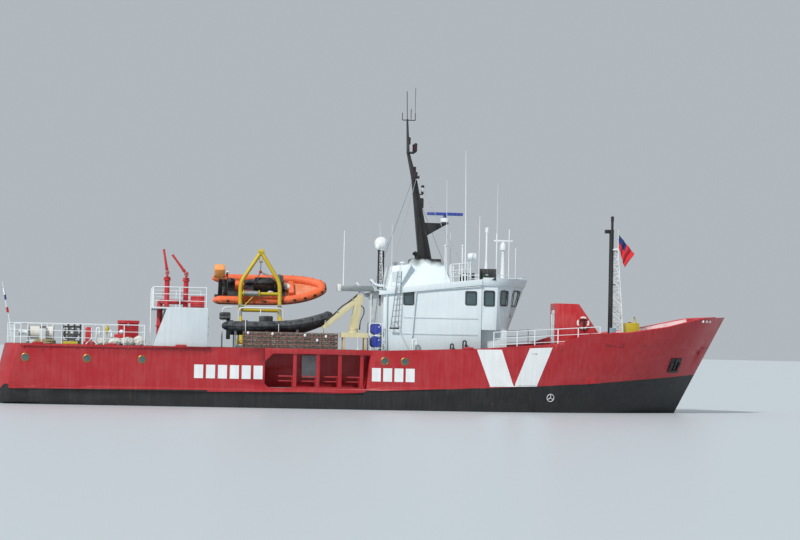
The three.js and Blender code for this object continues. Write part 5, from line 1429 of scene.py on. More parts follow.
dressed("crane_base", crane_enamel, "crane_stand", 0.012)
dressed("crane_column", crane_enamel, "crane_slewing_column", 0.008)
dressed("crane_boom", crane_enamel, "crane_box_boom", 0.01)
dressed("crane_extension", crane_enamel, "crane_sliding_boom")
dressed("crane_ram_barrel", crane_enamel, "crane_cylinder", 0.004)
dressed("crane_ram_rod", chrome_plate, "crane_piston_rod", 0.002)
boom_hoses = []
for k, y in enumerate((-4.02, -4.03, -3.99, -3.95)):
    lift = 0.17 + 0.025 * (k % 2)
    boom_hoses.append((bent([on_boom(-0.1, -lift, y), on_boom(0.5, -lift, y), on_boom(1, -lift - 0.06, y),
                             on_boom(1.5, -lift, y), on_boom(2.1, -lift, y)], 0.2), 0.019))
boom_hose_parts = [pipework("hoses", boom_hoses, black_rubber)]
for along in (0.3, 1.3, 2.1):
    clamp = block("clamp", (-0.03, -0.08, -0.05), (0.03, 0.08, 0.05), galvanised)
    seat = Matrix.Translation(on_boom(along, -0.18, -3.99))
    clamp.data.transform(seat @ Matrix.Rotation(-boom_angle, 4, "Y"))
    boom_hose_parts.append(clamp)
settle(joined("crane_boom_hoses", boom_hose_parts), "black_rubber", body="crane_arm")
column_hoses = []
for k in range(4):
    y = -4.1 + 0.05 * k
    column_hoses.append((
        bent(
            [
                (-1.28 + 0.02 * k, y, 4.12), (-1.2, y - 0.03, 4.6), (-1.02, y - 0.02, 4.95),
                (-1.04, y, 5.25), (-1.2, y, 5.36),
            ],
            0.25,
        ),
        0.02,
    ))
settle(pipework("crane_column_hoses", column_hoses, black_rubber), "black_rubber", body="crane_turret")
hook_root = on_boom(2.38) - aloft(0.15)
hook_curve = [hook_root, hook_root - aloft(0.08)]
hook_curve += [hook_root + Vector((
    0.05 - 0.05 * math.cos(a), 0, -0.12 - 0.05 * math.sin(a),
)) for a in (0.2, 0.8, 1.5, 2.2, 2.9)]
settle(
    pipework("crane_hook", [(hook_curve, [0.03, 0.024, 0.022, 0.022, 0.02, 0.016, 0.01])], galvanised, 3),
    "galvanised_steel", body="crane_slide",
)

# Gantry aft of the house: galvanised box beam with a white floodlight box on its end, its post
# and a slim aerial pole.
gantry_parts = [
    block("beam", (-1.98, -1.35, 6.16), (-0.2203, -1.05, 6.46), galvanised, 0.012),
    block("lamp_box", (-2.18, -1.38, 6.12), (-1.98, -1.02, 6.52), white_enamel, 0.03),
    block("lamp_glass", (-2.19, -1.34, 6.16), (-2.175, -1.06, 6.48), window_glass, 0.006),
    pipework("pole", [([(-1.85, -1.2, 6.45), (-1.85, -1.2, 9.35)], [0.04, 0.022])], mark_enamel),
    pipework("posts", [([(x, -1.2, deck_z), (x, -1.2, 6.2)], 0.045) for x in (-1, -0.35)], white_enamel, 3),
]
for x in (-1, -0.35):
    gantry_parts.append(block("foot", (x - 0.1, -1.3, deck_z), (x + 0.1, -1.1, 3.09), white_enamel, 0.006))
for x in (-1.75, -1.4, -1.05, -0.7):
    gantry_parts.append(block("stiffener", (x, -1.352, 6.18), (x + 0.02, -1.048, 6.44), galvanised, 0.004))
settle(joined("gantry_beam", gantry_parts), "galvanised_steel", "gantry")

# Drum rack: rails of white enamelled tube welded to the deck. Two blue drums of moulded
# polyethylene lie in them on cross bars.
drum_plastic = weathered("moulded_polyethylene_blue", "#15309a", 0.4, fade=0.5)
drum_shape = [(0, 0.18), (0, 0.27), (0.02, 0.285)]
for start in (0.06, 0.3, 0.5, 0.74):
    drum_shape += [(start, 0.28), (start + 0.02, 0.29), (start + 0.05, 0.29), (start + 0.07, 0.28)]
drum_shape += [(0.83, 0.285), (0.85, 0.27), (0.85, 0.18)]
drum_parts = [turned("drum", (-0.36, -3.85, z), to_port, drum_shape, drum_plastic, 32) for z in (3.5, 4.18)]
for z in (3.5, 4.18):
    drum_parts.append(turned(
        "bung", (-0.36 + 0.15, -3.87, z + 0.1), to_port, [(0, 0.03), (0.03, 0.035)], mark_enamel, 14,
    ))
rack_line = [(-0.03, -3.87), (-0.7, -3.87), (-0.7, -2.98), (-0.03, -2.98)]
rack_feet = [(x, y, deck_z) for x, y in rack_line]
drum_rail = rail_runs(rack_feet, 1.42, (1, 0.55, 0.1))
drum_rail += [([(-0.36, -3.87, z), (-0.36, -2.98, z)], r) for z, r in ((3.18, 0.04), (3.84, 0.05))]
drum_parts.append(pipework("rails", drum_rail, white_enamel, 3))
settle(joined("drum_rack_and_drums", drum_parts), "drum_plastic", "drum_rack")

# House amidships: welded steel plate, white enamel, with rubber-gasketed windows, handrails, vents
# and a weathertight door aft.
house_enamel = weathered("alkyd_enamel_house_white", "#dbe6ec", 0.4, rust=0.25, seams=1.3, fade=0.3)
dressed("house", house_enamel, "house_plating", 0.03)
dressed("house_door", house_enamel, "house_door_leaf", 0.012)
gasket = weathered("window_gasket_black", "#1a1c1e", 0.55)


def pane(name, corners, coat, rounding, thick, rim=0):
    """A flat plate or rim with rounded corners, filling four corner points given in turn."""
    bpy.ops.mesh.primitive_plane_add(size=1)
    piece = bpy.context.object
    for vertex, corner in zip(piece.data.vertices, (corners[0], corners[1], corners[3], corners[2])):
        vertex.co = corner
    edit_all()
    bpy.ops.mesh.bevel(offset=rounding, segments=4, affect="VERTICES")
    if rim:
        bpy.ops.mesh.select_all(action="SELECT")
        bpy.ops.mesh.inset(thickness=rim)
        bpy.ops.mesh.delete(type="FACE")
    end_edit()
    body = piece.modifiers.new("plate", "SOLIDIFY")
    body.thickness = thick
    body.offset = 0
    bpy.ops.object.modifier_apply(modifier=body.name)
    return coated(piece, name, coat)


def window(corners, out):
    """A gasketed window over a cut opening: black rim on the wall, and glass set back in it."""
    middle = sum(corners, Vector()) / 4
    rims = [middle + (corner - middle) * 1.09 + out * 0.008 for corner in corners]
    panes = [middle + (corner - middle) * 1.03 - out * 0.05 for corner in corners]
    return [pane("rim", rims, gasket, 0.09, 0.03, 0.05), pane("glass", panes, window_glass, 0.05, 0.012)]


house_windows = []
for side in (-1, 1):
    for x0, x1, z0, z1 in ((1.08, 1.6, 5.48, 6.13), (4.33, 4.9, 5.54, 6.23)):
        wall = [Vector((x, side * 3.6, z)) for x, z in ((x0, z0), (x1, z0), (x1, z1), (x0, z1))]
        house_windows += window(wall, Vector((0, side, 0)))
for y in (-2.2, 1.6):
    wall = [Vector((0.03, y + dy, z)) for dy, z in ((0, 5.45), (0.6, 5.45), (0.6, 6), (0, 6))]
    house_windows += window(wall, Vector((-1, 0, 0)))
settle(joined("house_windows", house_windows), "window_glass")

# Roof lips: the house roof runs out aft over the wings as a strip of rolled plate that turns up
# at its end, carried on a bent pipe bracket and painted with the house.
lips = []
for side in (-1, 1):
    crest = [(0.03, 6.42), (-0.3, 6.44), (-0.52, 6.52), (-0.68, 6.72)]
    for (x0, z0), (x1, z1) in zip(crest, crest[1:]):
        strip = [
            Vector((x0, side * 3.2, z0)), Vector((x0, side * 3.88, z0)), Vector((x1, side * 3.88, z1)),
            Vector((x1, side * 3.2, z1)),
        ]
        lips.append(pane("lip", strip, house_enamel, 0.01, 0.12))
    lips.append(pipework(
        "lip_bracket",
        [([(-0.6, side * 3.8, 6.5), (-0.52, side * 3.75, 6.3), (0.02, side * 3.6, 6.05)], 0.03)],
        house_enamel,
    ))
settle(joined("house_roof_lips", lips), "white_paint")

# Handrails and pipework on the house sides: galvanised or painted tube on short brackets, with a
# dark pipe ladder to the roof and swan-neck tank vents along the deck.
side_runs = []
for side in (-1, 1):
    for z, x0, x1 in ((4.85, 1.1, 4.95), (4, 1.1, 4.95), (6.42, 0.3, 1)):
        route = [(x0, side * 3.6, z), (x0, side * 3.66, z), (x1, side * 3.66, z), (x1, side * 3.6, z)]
        side_runs.append((route, 0.017))
        for k in range(1, 4):
            x = x0 + (x1 - x0) * k / 4
            side_runs.append(([(x, side * 3.595, z), (x, side * 3.66, z)], 0.012))
    side_runs.append((
        bent([(5.1, side * 3.02, 4.9), (5.32, side * 3.1, 4.9), (5.32, side * 3.1, 3.07)], 0.1), 0.03,
    ))
settle(pipework("house_handrails", side_runs, white_enamel), "white_paint")
ladder_feet = [Vector((x, -3.84, 4.25)) for x in (0.4, 0.78)]
ladder_tops = [Vector((x, -3.78, 7.2)) for x in (0.73, 0.92)]
ladder_runs = [([foot, top], 0.026) for foot, top in zip(ladder_feet, ladder_tops)]
for k in range(10):
    ladder_runs.append(([foot.lerp(top, k / 10) for foot, top in zip(ladder_feet, ladder_tops)], 0.014))
ladder_runs += [
    ([(x, -3.6, z), (x, -3.83, z)], 0.016) for x, z in ((0.46, 4.5), (0.76, 4.5), (0.66, 6.1), (0.86, 6.1))
]
ladder_piece = joined("house_side_ladder", [
    pipework("ladder", ladder_runs, galvanised),
    block("foot_bar", (0.34, -3.88, 4.19), (0.84, -3.8, 4.27), black_rubber, 0.02),
    # Two down pipes and a pole, in grey-blue that is partly painted shade on white pipe, and a long grey run
    # under the roof edge that is a painted shadow line of the roof overhang.
    pipework("drains_and_eave_shadow_pipe", [
        (bent([(0.2, -3.66, 6.05), (0.2, -3.66, 4.2), (0.2, -3.72, 3.1)], 0.15), 0.035),
        (bent([(1.72, -3.66, 6.2), (1.6, -3.66, 4.6), (1.47, -3.72, 3.1)], 0.15), 0.04),
        ([(0.8, -3.84, 4.2), (1.35, -3.8, 3.1)], 0.03), ([(0.2, -3.66, 6.05), (5.1, -3.66, 6.5)], 0.03),
    ], casing_enamel, 3),
])
settle(ladder_piece, "galvanised_steel")
screen_black = weathered("screen_enamel_black", "#141517", 0.6)
vent_parts = []
for side in (-1, 1):
    vent_parts += swan_neck((1.55, side * 3.9, deck_z), 0.62, 0.2, white_enamel, 0.05)
    vent_parts += swan_neck((3.55, side * 3.86, deck_z), 0.42, 0.14, screen_black, 0.04)
    vent_parts += swan_neck((4.2, side * 3.86, deck_z), 0.6, 0.16, screen_black, 0.04)
settle(joined("tank_vents", vent_parts), "white_paint")
door_bits = []
for z in (3.5, 4.1, 4.7):
    door_bits.append(turned(
        "dog", (0.0297, 1.36, z), (-1, 0, 0), [(0, 0.03), (0.02, 0.03), (0.03, 0.02)], galvanised, 12,
    ))
    door_bits.append(block("handle", (0, 1.345, z - 0.09), (0.012, 1.375, z + 0.02), galvanised, 0.004))
door_bits.append(pane(
    "port_light_rim",
    [Vector((0.026, y, z)) for y, z in ((1.52, 4.35), (1.82, 4.35), (1.82, 4.65), (1.52, 4.65))], gasket,
    0.13, 0.012, 0.03,
))
door_bits.append(pane(
    "port_light",
    [Vector((0.027, y, z)) for y, z in ((1.54, 4.37), (1.80, 4.37), (1.80, 4.63), (1.54, 4.63))],
    window_glass, 0.12, 0.004,
))
settle(joined("house_door_dogs", door_bits), "galvanised_steel", body="door_house")

# Wheelhouse: welded plate bay whose raked windows stand in rubber gaskets, each front one with a
# wiper hanging from above it.
dressed("wheelhouse", house_enamel, "wheelhouse_plating", 0.02)
bay_low = ((5.1803, 3.55), (6, 3.4), (6.78, 2.5), (7.06, 0.8))
bay_high = ((5.1803, 3.55), (6.06, 3.4), (7.06, 2.5), (8.03, 0.8))


def bay_corner(k, side, z):
    """A corner of the wheelhouse's plan at a height."""
    share = (z - 4.25) / (6.92 - 4.25)
    low, high = bay_low[k], bay_high[k]
    return Vector((low[0] + (high[0] - low[0]) * share, side * (low[1] + (high[1] - low[1]) * share), z))


def bay_window(start, end, centre, wide, z0, z1):
    """Opening corners on one facet, between two plan corners given as functions of the height."""
    corners = []
    for z, way in ((z0, -0.5), (z0, 0.5), (z1, 0.5), (z1, -0.5)):
        a, b = start(z), end(z)
        along = (b - a).normalized()
        middle = a + along * (Vector((*centre, z)) - a).dot(along)
        corners.append(middle + along * wide * way)
    return corners


bay_panes, wipers = [], []
for side in (-1, 1):
    for k, centre, wide, z0, z1 in (
        (0, (5.6, side * 3.5), 0.56, 5.52, 6.28), (1, (6.48, side * 2.98), 0.62, 5.55, 6.3),
        (2, (7.34, side * 1.65), 1.15, 5.56, 6.33),
    ):
        corners = bay_window(
            lambda z: bay_corner(k, side, z), lambda z: bay_corner(k + 1, side, z), centre, wide, z0, z1,
        )
        out = (corners[1] - corners[0]).cross(corners[3] - corners[0]).normalized()
        out *= 1 if out.y * side > 0 else -1
        bay_panes += window(corners, out)
        if k:
            top = (corners[2] + corners[3]) / 2 + out * 0.02
            wipers.append(([top + aloft(0.1), top - aloft(0.45) + out * 0.01], 0.01))
nose = bay_window(lambda z: bay_corner(3, -1, z), lambda z: bay_corner(3, 1, z), (7.69, 0), 1.2, 5.56, 6.33)
nose_out = (nose[1] - nose[0]).cross(nose[3] - nose[0]).normalized()
bay_panes += window(nose, nose_out if nose_out.x > 0 else -nose_out)
nose_top = (nose[2] + nose[3]) / 2 + Vector((0.02, 0, 0))
wipers.append(([nose_top + Vector((0.05, 0, 0.1)), nose_top + Vector((-0.15, 0, -0.45))], 0.01))
bay_panes.append(pipework("wipers", wipers, gasket))
settle(joined("wheelhouse_windows", bay_panes), "window_glass")
console_enamel = weathered("console_laminate_grey", "#4a5157", 0.5)
dressed("bridge_console", console_enamel, "console_and_chair", 0.02)

# Bridge roof and its flared coaming: white enamelled plate. Black plate screens stand on it for
# the sidelights, whose lamps have coloured acrylic lenses.
dressed("bridge_roof", house_enamel, "roof_and_coaming", 0.015)
# The lenses' lighter tone is a painted reflection.
green_lens = two_tone("moulded_acrylic_lens_green", "#063a26", "#0f5c3c", 0.1, scale=30)
red_lens = two_tone("moulded_acrylic_lens_red", "#960c14", "#c81c24", 0.1, scale=30)
screens = []
for side, lens in ((-1, green_lens), (1, red_lens)):
    y0, y1 = sorted((side * 3.56, side * 3.6))
    screens.append(block("screen", (5.04, y0, 6.85), (5.92, y1, 7.44), screen_black, 0.006))
    inner, outer = sorted((side * 3.6, side * 3.72))
    screens.append(block("end", (5.04, inner, 6.87), (5.08, outer, 7.42), screen_black, 0.005))
    screens.append(turned(
        "lens", (5.25, side * 3.66, 6.98), upward, [(0, 0.04), (0.02, 0.055), (0.16, 0.055), (0.18, 0.04)],
        lens, 18,
    ))
    screens.append(turned(
        "cap", (5.25, side * 3.66, 7.16), upward, [(0, 0.06), (0.04, 0.06), (0.06, 0.03)], screen_black, 18,
    ))
settle(joined("sidelight_screens", screens), "black_paint")

# Funnel and vent housing: white plate, sooted black at the top, with mushroom caps, exhaust ends
# and louvres.
funnel_coat, funnel_tree, funnel_shader = new_material("alkyd_enamel_white_sooted", "#dbe6ec", 0.45)
funnel_place = add_node(funnel_tree, "ShaderNodeTexCoord").outputs["Object"]
funnel_parts = add_node(funnel_tree, "ShaderNodeSeparateXYZ", {"Vector": funnel_place})
soot_noise = add_node(
    funnel_tree, "ShaderNodeTexNoise", {"Vector": funnel_place, "Scale": 2.2, "Detail": 6},
)
soot_edge = add_node(
    funnel_tree, "ShaderNodeMath", {0: soot_noise.outputs["Fac"], 1: 0.7, 2: funnel_parts.outputs["Z"]},
    operation="MULTIPLY_ADD",
)
soot = add_node(
    funnel_tree, "ShaderNodeMapRange",
    {"Value": soot_edge.outputs["Value"], "From Min": 7.95, "From Max": 8.3},
)
add_node(funnel_tree, "ShaderNodeMix", {
    "Factor": soot.outputs["Result"], 6: linear("#dbe6ec"), 7: linear("#1d1c1c"),
}, funnel_shader.inputs["Base Color"], 2, data_type="RGBA")
dressed("funnel", funnel_coat, "funnel_casing", 0.03)
exhausts = [[(2.2, y, 7.9), (2.2, y, 8.22), (2.02, y, 8.34)] for y in (-0.3, 0.3)]
funnel_bits = [pipework("exhausts", [(bent(pipe, 0.12), 0.09) for pipe in exhausts], screen_black, 3)]
for side in (-1, 1):
    for k in range(8):
        z = 6.72 + 0.07 * k
        y = 1.5 - 0.25 * (z - 6.32) / 1.23
        inner, outer = sorted((side * (y - 0.03), side * (y + 0.02)))
        funnel_bits.append(block(
            "louvre", (0.72, inner, z), (1.24, outer, z + 0.045), casing_enamel, 0.006,
        ))
funnel_bits.append(turned(
    "cap", (1.1, 0.5, 7.58), upward, [(0, 0.1), (0.16, 0.1), (0.17, 0.2), (0.22, 0.19), (0.27, 0.08)],
    white_enamel,
))
funnel_bits.append(turned(
    "cap", (1.35, -0.6, 7.6), upward, [(0, 0.08), (0.12, 0.08), (0.13, 0.16), (0.18, 0.15), (0.22, 0.06)],
    white_enamel,
))
settle(joined("funnel_fittings", funnel_bits), "white_paint")

# Mast: raked and tapered steel plate, black enamel, stepped on the funnel. It carries lamps and
# horns on short arms, stays of wire rope and the whip aerials at its head.
mast_enamel = weathered("alkyd_enamel_mast_black", "#141518", 0.5, fade=0.25)
dressed("mast", mast_enamel, "mast_plating", 0.01, 30)
# The lamp glass's lighter tone is a painted reflection.
lamp_glass = two_tone("clear_pressed_glass", "#ccd6db", "#eef3f5", 0.08, scale=14)


def lamp(at, radius, height, coat=mast_enamel, glass=lamp_glass):
    """A round navigation lantern: base, glass and cap."""
    base = turned(
        "base", at, upward, [(0, radius * 0.6), (height * 0.2, radius), (height * 0.25, radius)], coat, 18,
    )
    lens = turned(
        "lens", Vector(at) + aloft(height * 0.25), upward,
        [(0, radius * 0.9), (height * 0.45, radius * 0.9)], glass, 18,
    )
    cap = turned(
        "cap", Vector(at) + aloft(height * 0.7), upward,
        [(0, radius), (height * 0.2, radius), (height * 0.3, radius * 0.4)], coat, 18,
    )
    return [base, lens, cap]


# The smoked glass's lighter tone is a painted reflection.
dark_glass = two_tone("smoked_pressed_glass", "#2a1216", "#4a2024", 0.15, scale=14)
mast_bits = lamp(
    (1.97, 0, 12.66), 0.09, 0.3, glass=dark_glass,
) + lamp((1.67, 0, 14.14), 0.06, 0.4, glass=dark_glass)
for side in (-1, 1):
    mast_bits += lamp(
        (1.96, side * 0.35, 13.72), 0.09, 0.48, glass=dark_glass,
    ) + lamp((1.96, side * 0.8, 12.3), 0.08, 0.32, glass=dark_glass)
mast_bits += lamp((2.43, 0, 11.5), 0.09, 0.48)
mast_bits.append(turned(
    "floodlight", (2.4, 0, 10.74), upward, [(0, 0.06), (0.02, 0.1), (0.5, 0.1), (0.54, 0.06)], mast_enamel,
    20,
))
mast_bits.append(pipework("arms", [
    ([(1.58, side * 0.35, 13.7), (1.98, side * 0.35, 13.7)], 0.03) for side in (-1, 1)
] + [
    ([(1.85, 0, 12.64), (1.99, 0, 12.64)], 0.03), ([(2.05, 0, 11.48), (2.45, 0, 11.48)], 0.035),
    ([(2.15, 0, 10.76), (2.42, 0, 10.76)], 0.035),
    ([(1.55, 0, 15.45), (1.94, 0, 15.45), (1.94, 0, 17.2)], 0.013),
    ([(1.72, 0, 15.5), (1.72, 0, 16.05)], 0.02),
    ([(2.62, -0.3, 8.1), (2.3, -0.24, 10.2), (1.9, -0.15, 12.3)], 0.018),
    ([(2.7, -0.32, 8.1), (2.38, -0.26, 10.2), (1.94, -0.16, 12.3)], 0.014),
], mast_enamel))
mast_bits.append(pipework("stays", [
    ([(1.96, side * 0.88, 12.25), foot], 0.012) for side in (-1, 1) for foot in (
        (0.2, side * 3.4, 6.35), (4.6, side * 3.4, 6.85),
    )
], galvanised))
for side in (-1, 1):
    mast_bits.append(turned(
        "horn", (1.95, side * 0.15, 12.4), forward,
        [(0, 0.03), (0.1, 0.035), (0.2, 0.05), (0.27, 0.09), (0.27, 0.07)], mast_enamel, 20,
    ))
settle(joined("mast_lamps_and_stays", mast_bits), "black_paint")

# Radars: glass-fibre scanners on cast gearboxes, and the satellite dome with its small sister on
# a black lattice post.
radar_blue = weathered("gelcoat_radar_blue", "#27409a", 0.35, fade=0.4)
white_plastic = weathered("gelcoat_white", "#e4e9ec", 0.3, fade=0.3)
for node, body, coat in (
    ("radar_scanner_main", "scanner_main", radar_blue),
    ("radar_scanner_forward", "scanner_forward", white_plastic),
):
    low, high = (Vector(corner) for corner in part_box(node))
    bar = [
        turned(
            "spindle", ((low.x + high.x) / 2, 0, low.z), upward,
            [(0, 0.09), (0.05, 0.09), (0.08, 0.06), (0.12, 0.06)], coat,
        ),
        block("bar", (low.x, low.y, low.z + 0.095), high, coat, 0.04),
    ]
    settle(
        joined(node + "_bar", bar), "radar_blue" if coat is radar_blue else "white_plastic", node, body=body,
    )
dressed("radar_pedestal", white_enamel, "radar_pedestal_tube", 0.01, 40)
settle(
    turned(
        "radar_gearbox", (3.67, 0, 10), upward, [(0, 0.16), (0.03, 0.24), (0.2, 0.25), (0.25, 0.17)],
        white_plastic, 28,
    ),
    "white_plastic",
)
dome_ball = [(0, 0.16), (0.02, 0.24)]
for k in range(20):
    angle = math.pi * (0.24 + 0.038 * k)
    dome_ball.append((0.375 - 0.375 * math.cos(angle), 0.375 * math.sin(angle)))
dome_parts = [
    turned("dome", (0.19, -0.6, 8.365), upward, dome_ball, white_plastic, 40),
    turned(
        "small_dome", (-0.02, -0.9, 8.4), upward,
        [(0, 0.08), (0.05, 0.13), (0.16, 0.16), (0.27, 0.13), (0.33, 0.06), (0.34, 0.01)], white_plastic,
    ),
    pipework("small_arm", [([(0.1, -0.72, 8.35), (-0.02, -0.9, 8.4)], 0.03)], mast_enamel),
    turned("neck", (0.19, -0.6, 8.3), upward, [(0, 0.09), (0.1, 0.09), (0.12, 0.14)], white_plastic, 20),
]
post_runs = []
corners = [(0.19 + i * 0.13, -0.6 + j * 0.13) for i, j in ((-1, -1), (1, -1), (1, 1), (-1, 1))]
for k, (x, y) in enumerate(corners):
    nx, ny = corners[(k + 1) % 4]
    post_runs.append(([(x, y, 6.27), (x, y, 8.37)], 0.03))
    for step in range(5):
        z = 6.4 + step * 0.45
        post_runs.append(([(x, y, z), (nx, ny, z)], 0.016))
        if z < 8.1:
            post_runs.append(([(x, y, z), (nx, ny, z + 0.45)], 0.012))
dome_parts.append(pipework("post", post_runs, mast_enamel))
settle(joined("satellite_dome_and_post", dome_parts), "white_plastic", "satellite_dome")

# Rails, searchlight and aerials on the bridge roof: white tube, a drum-shaped searchlight with a
# glass front, glass-fibre whips and a light mast.
monkey_line = [
    (4.45, -3.45), (3.99, -3.45), (3.52, -3.45), (3.75, -2.43), (3.99, -1.4), (3.99, 0), (3.99, 1.4),
    (3.75, 2.43), (3.52, 3.45), (3.99, 3.45), (4.45, 3.45),
]
monkey_feet = [(x, y, 6.26 + x * 0.118) for x, y in monkey_line]
roof_runs = rail_runs(monkey_feet, 0.97)
for x0, y0, z0, z1, radius in (
    (4.89, -1.5, 6.86, 7.93, 0.055), (5.58, -2.4, 6.88, 9.45, 0.055), (4.3, -2.4, 6.78, 8.68, 0.04),
    (3.38, -2.4, 6.68, 8.66, 0.03), (5.19, -2.4, 6.85, 10.25, 0.018),
    (6.12, -2.4, 6.88, 9.35, 0.035), (6.78, -2.4, 6.88, 9.6, 0.026), (7.41, -0.9, 6.88, 8.7, 0.024),
    (4.45, 3, 6.8, 9.6, 0.03),
):
    roof_runs.append(([(x0, y0, z0), (x0, y0, z1)], radius))
roof_runs += [
    ([(4.47, -2.4, 6.8), (4.44, -2.4, 9.9), (4.37, -2.4, 13.7)], [0.045, 0.03, 0.01]),
    ([(3.49, -2.4, 6.68), (3.39, -2.4, 12.1)], [0.022, 0.009]),
    ([(6.12, -2.4, 9.3), (6.12, -2.4, 12)], [0.014, 0.006]),
    ([(0.27, -1.4, 6.3), (-0.02, -1.4, 9.83)], [0.02, 0.008]),
    ([(0.62, -2, 6.33), (0.59, -2, 9.7)], [0.02, 0.009]),
    ([(5.58, -2.4, 6.88), (5.58, -2.4, 7.9)], [0.13, 0.07]),
    ([(5.58, -2.65, 9.38), (5.58, -2.15, 9.38)], 0.03),
    ([(4.89, -1.5, 7.1), (3.99, -1.4, 7.3)], 0.028), ([(5.58, -2.4, 7.15), (4.89, -1.5, 7.15)], 0.028),
]
coaming_line = [
    (5.3, -3.62), (6.05, -3.48), (7.05, -2.6), (8, -0.85), (8, 0.85), (7.05, 2.6), (6.05, 3.48), (5.3, 3.62),
]
roof_runs.append(([(x, y, 7.12) for x, y in coaming_line], 0.02))
roof_runs += [([(x, y, 6.95), (x, y, 7.12)], 0.016) for x, y in coaming_line]
roof_parts = [pipework("tubes", roof_runs, white_enamel)]
roof_parts += [
    turned(
        "searchlight", (4.71, -1.5, 8.13), forward,
        [(0, 0.05), (0.02, 0.16), (0.12, 0.2), (0.36, 0.21), (0.4, 0.22), (0.43, 0.22), (0.43, 0.19)],
        white_enamel, 32,
    ),
    turned(
        "light_glass", (5.105, -1.5, 8.13), forward, [(0, 0.195), (0.015, 0.19), (0.03, 0.12)], lamp_glass,
        32,
    ),
    pipework(
        "yoke",
        [([(4.89, -1.75, 8.13), (4.89, -1.74, 7.89), (4.89, -1.26, 7.89), (4.89, -1.25, 8.13)], 0.022)],
        white_enamel,
    ),
]
roof_parts += lamp(
    (5.58, -2.62, 9.4), 0.06, 0.26, white_enamel,
) + lamp((5.58, -2.18, 9.4), 0.06, 0.26, white_enamel)
for x, y, z in ((4.3, -2.4, 8.62), (3.38, -2.4, 8.6)):
    roof_parts.append(turned(
        "aerial", (x, y, z), upward, [(0, 0.03), (0.03, 0.07), (0.08, 0.075), (0.1, 0.03)], white_plastic,
        20,
    ))
settle(joined("bridge_roof_rails", roof_parts), "white_paint", "bridge_rails")

# Companion house on the foredeck: welded plate in red enamel, with a dogged steel door and a
# ring lifebuoy, white with red bands, on each side.
dressed("companion", fire_enamel, "companion_plating", 0.03)
door_leaf = copy_of("companion_door_leaf", "companion_door")
door_leaf.data.materials.clear()
door_leaf.data.materials.append(house_enamel)
soften(door_leaf, 0.012)
settle(door_leaf, "white_paint", "companion_door", body="door_companion")
buoy_foam = weathered("lifebuoy_shell_white", "#ece8e2", 0.5)
buoy_parts = []
for side in (-1, 1):
    bpy.ops.object.select_all(action="DESELECT")
    bpy.ops.mesh.primitive_torus_add(
        major_radius=0.29, minor_radius=0.062, major_segments=40, minor_segments=12,
        location=(11.18, side * 0.81, 4.76), rotation=(math.pi / 2, 0, 0),
    )
    ring = bpy.context.object
    ring.data.materials.append(buoy_foam)
    ring.data.materials.append(fire_enamel)
    for face in ring.data.polygons:
        angle = math.degrees(math.atan2(face.center.y, face.center.x)) % 90
        face.material_index = 1 if 30 < angle < 60 else 0
    bpy.ops.object.transform_apply()
    smooth_edges(ring, 60)
    buoy_parts.append(ring)
for z in (4, 4.6, 5.2):
    buoy_parts.append(turned(
        "dog", (9.665, -0.32, z), (-1, 0, 0), [(0, 0.03), (0.02, 0.03), (0.03, 0.02)], galvanised, 12,
    ))
buoy_parts.append(pipework("hand_bars", [
    ([(9.67, -0.5, 4.2), (9.6, -0.5, 4.2), (9.6, -0.5, 4.9), (9.67, -0.5, 4.9)], 0.014),
], white_enamel))
buoy_parts.append(pipework(
    "buoy_lights", [([(11.2, side * 0.84, 4.95), (11.2, side * 0.84, 4.36)], 0.05) for side in (-1, 1)],
    mast_enamel,
))
settle(joined("companion_lifebuoys", buoy_parts), "white_plastic")

# Foremast: white lattice welded from three steel legs and braces, with a dark enamelled pole
# behind it that carries a lamp.
top_lean, foot_z, top_z = 0.27, 3.52, 8.85
foredeck_z = 3.5003


def lattice_corner(k, z):
    """A point on one of the three legs at a height."""
    share = (z - foot_z) / (top_z - foot_z)
    reach = 0.38 + (0.175 - 0.38) * share
    turn = (k % 3) * math.tau / 3 + math.pi / 3
    return Vector((13.35 - top_lean * share + reach * math.cos(turn), reach * math.sin(turn), z))


lattice = [([lattice_corner(k, 3.56), lattice_corner(k, top_z)], 0.034) for k in range(3)]
for bay in range(12):
    low, high = foot_z + 0.05 + bay * 0.44, foot_z + 0.05 + (bay + 1) * 0.44
    for k in range(3):
        lattice.append(([lattice_corner(k + bay % 2, low), lattice_corner(k + 1 - bay % 2, high)], 0.018))
        lattice.append(([lattice_corner(k, high), lattice_corner(k + 1, high)], 0.014))
lattice.append(([(13.205, 0, 8.75), (13.205, 0, 9.88)], 0.02))
winch_blue = weathered("winch_box_enamel_blue_grey", "#7d96aa", 0.5)
foremast_parts = [
    pipework("lattice", lattice, mark_enamel),
    pipework("pole", [
        ([(12.83, 0, 3.53), (12.83, 0, 9.86)], 0.125), ([(12.86, 0, 9.8), (12.86, 0, 10.3)], 0.07),
    ]
             + [([(12.83, 0, z), (13.1, 0, z)], 0.026) for z in (3.9, 5.4, 6.9, 8.7)], mast_enamel, 3),
    block("foot", (12.7, -0.38, foredeck_z), (13.6, 0.38, 3.56), white_enamel),
    block("winch_box", (12.78, -0.3, 3.54), (13.1, 0.3, 4.54), winch_blue, 0.02),
    block("floodlight", (12.46, -0.12, 9.66), (12.72, 0.12, 9.86), mast_enamel, 0.03),
    block("head", (12.89, -0.14, 8.745), (13.23, 0.14, 8.812), white_enamel),
] + lamp((12.86, 0, 10.28), 0.09, 0.32, glass=dark_glass)
settle(joined("foremast_lattice", foremast_parts), "white_paint", "foremast")

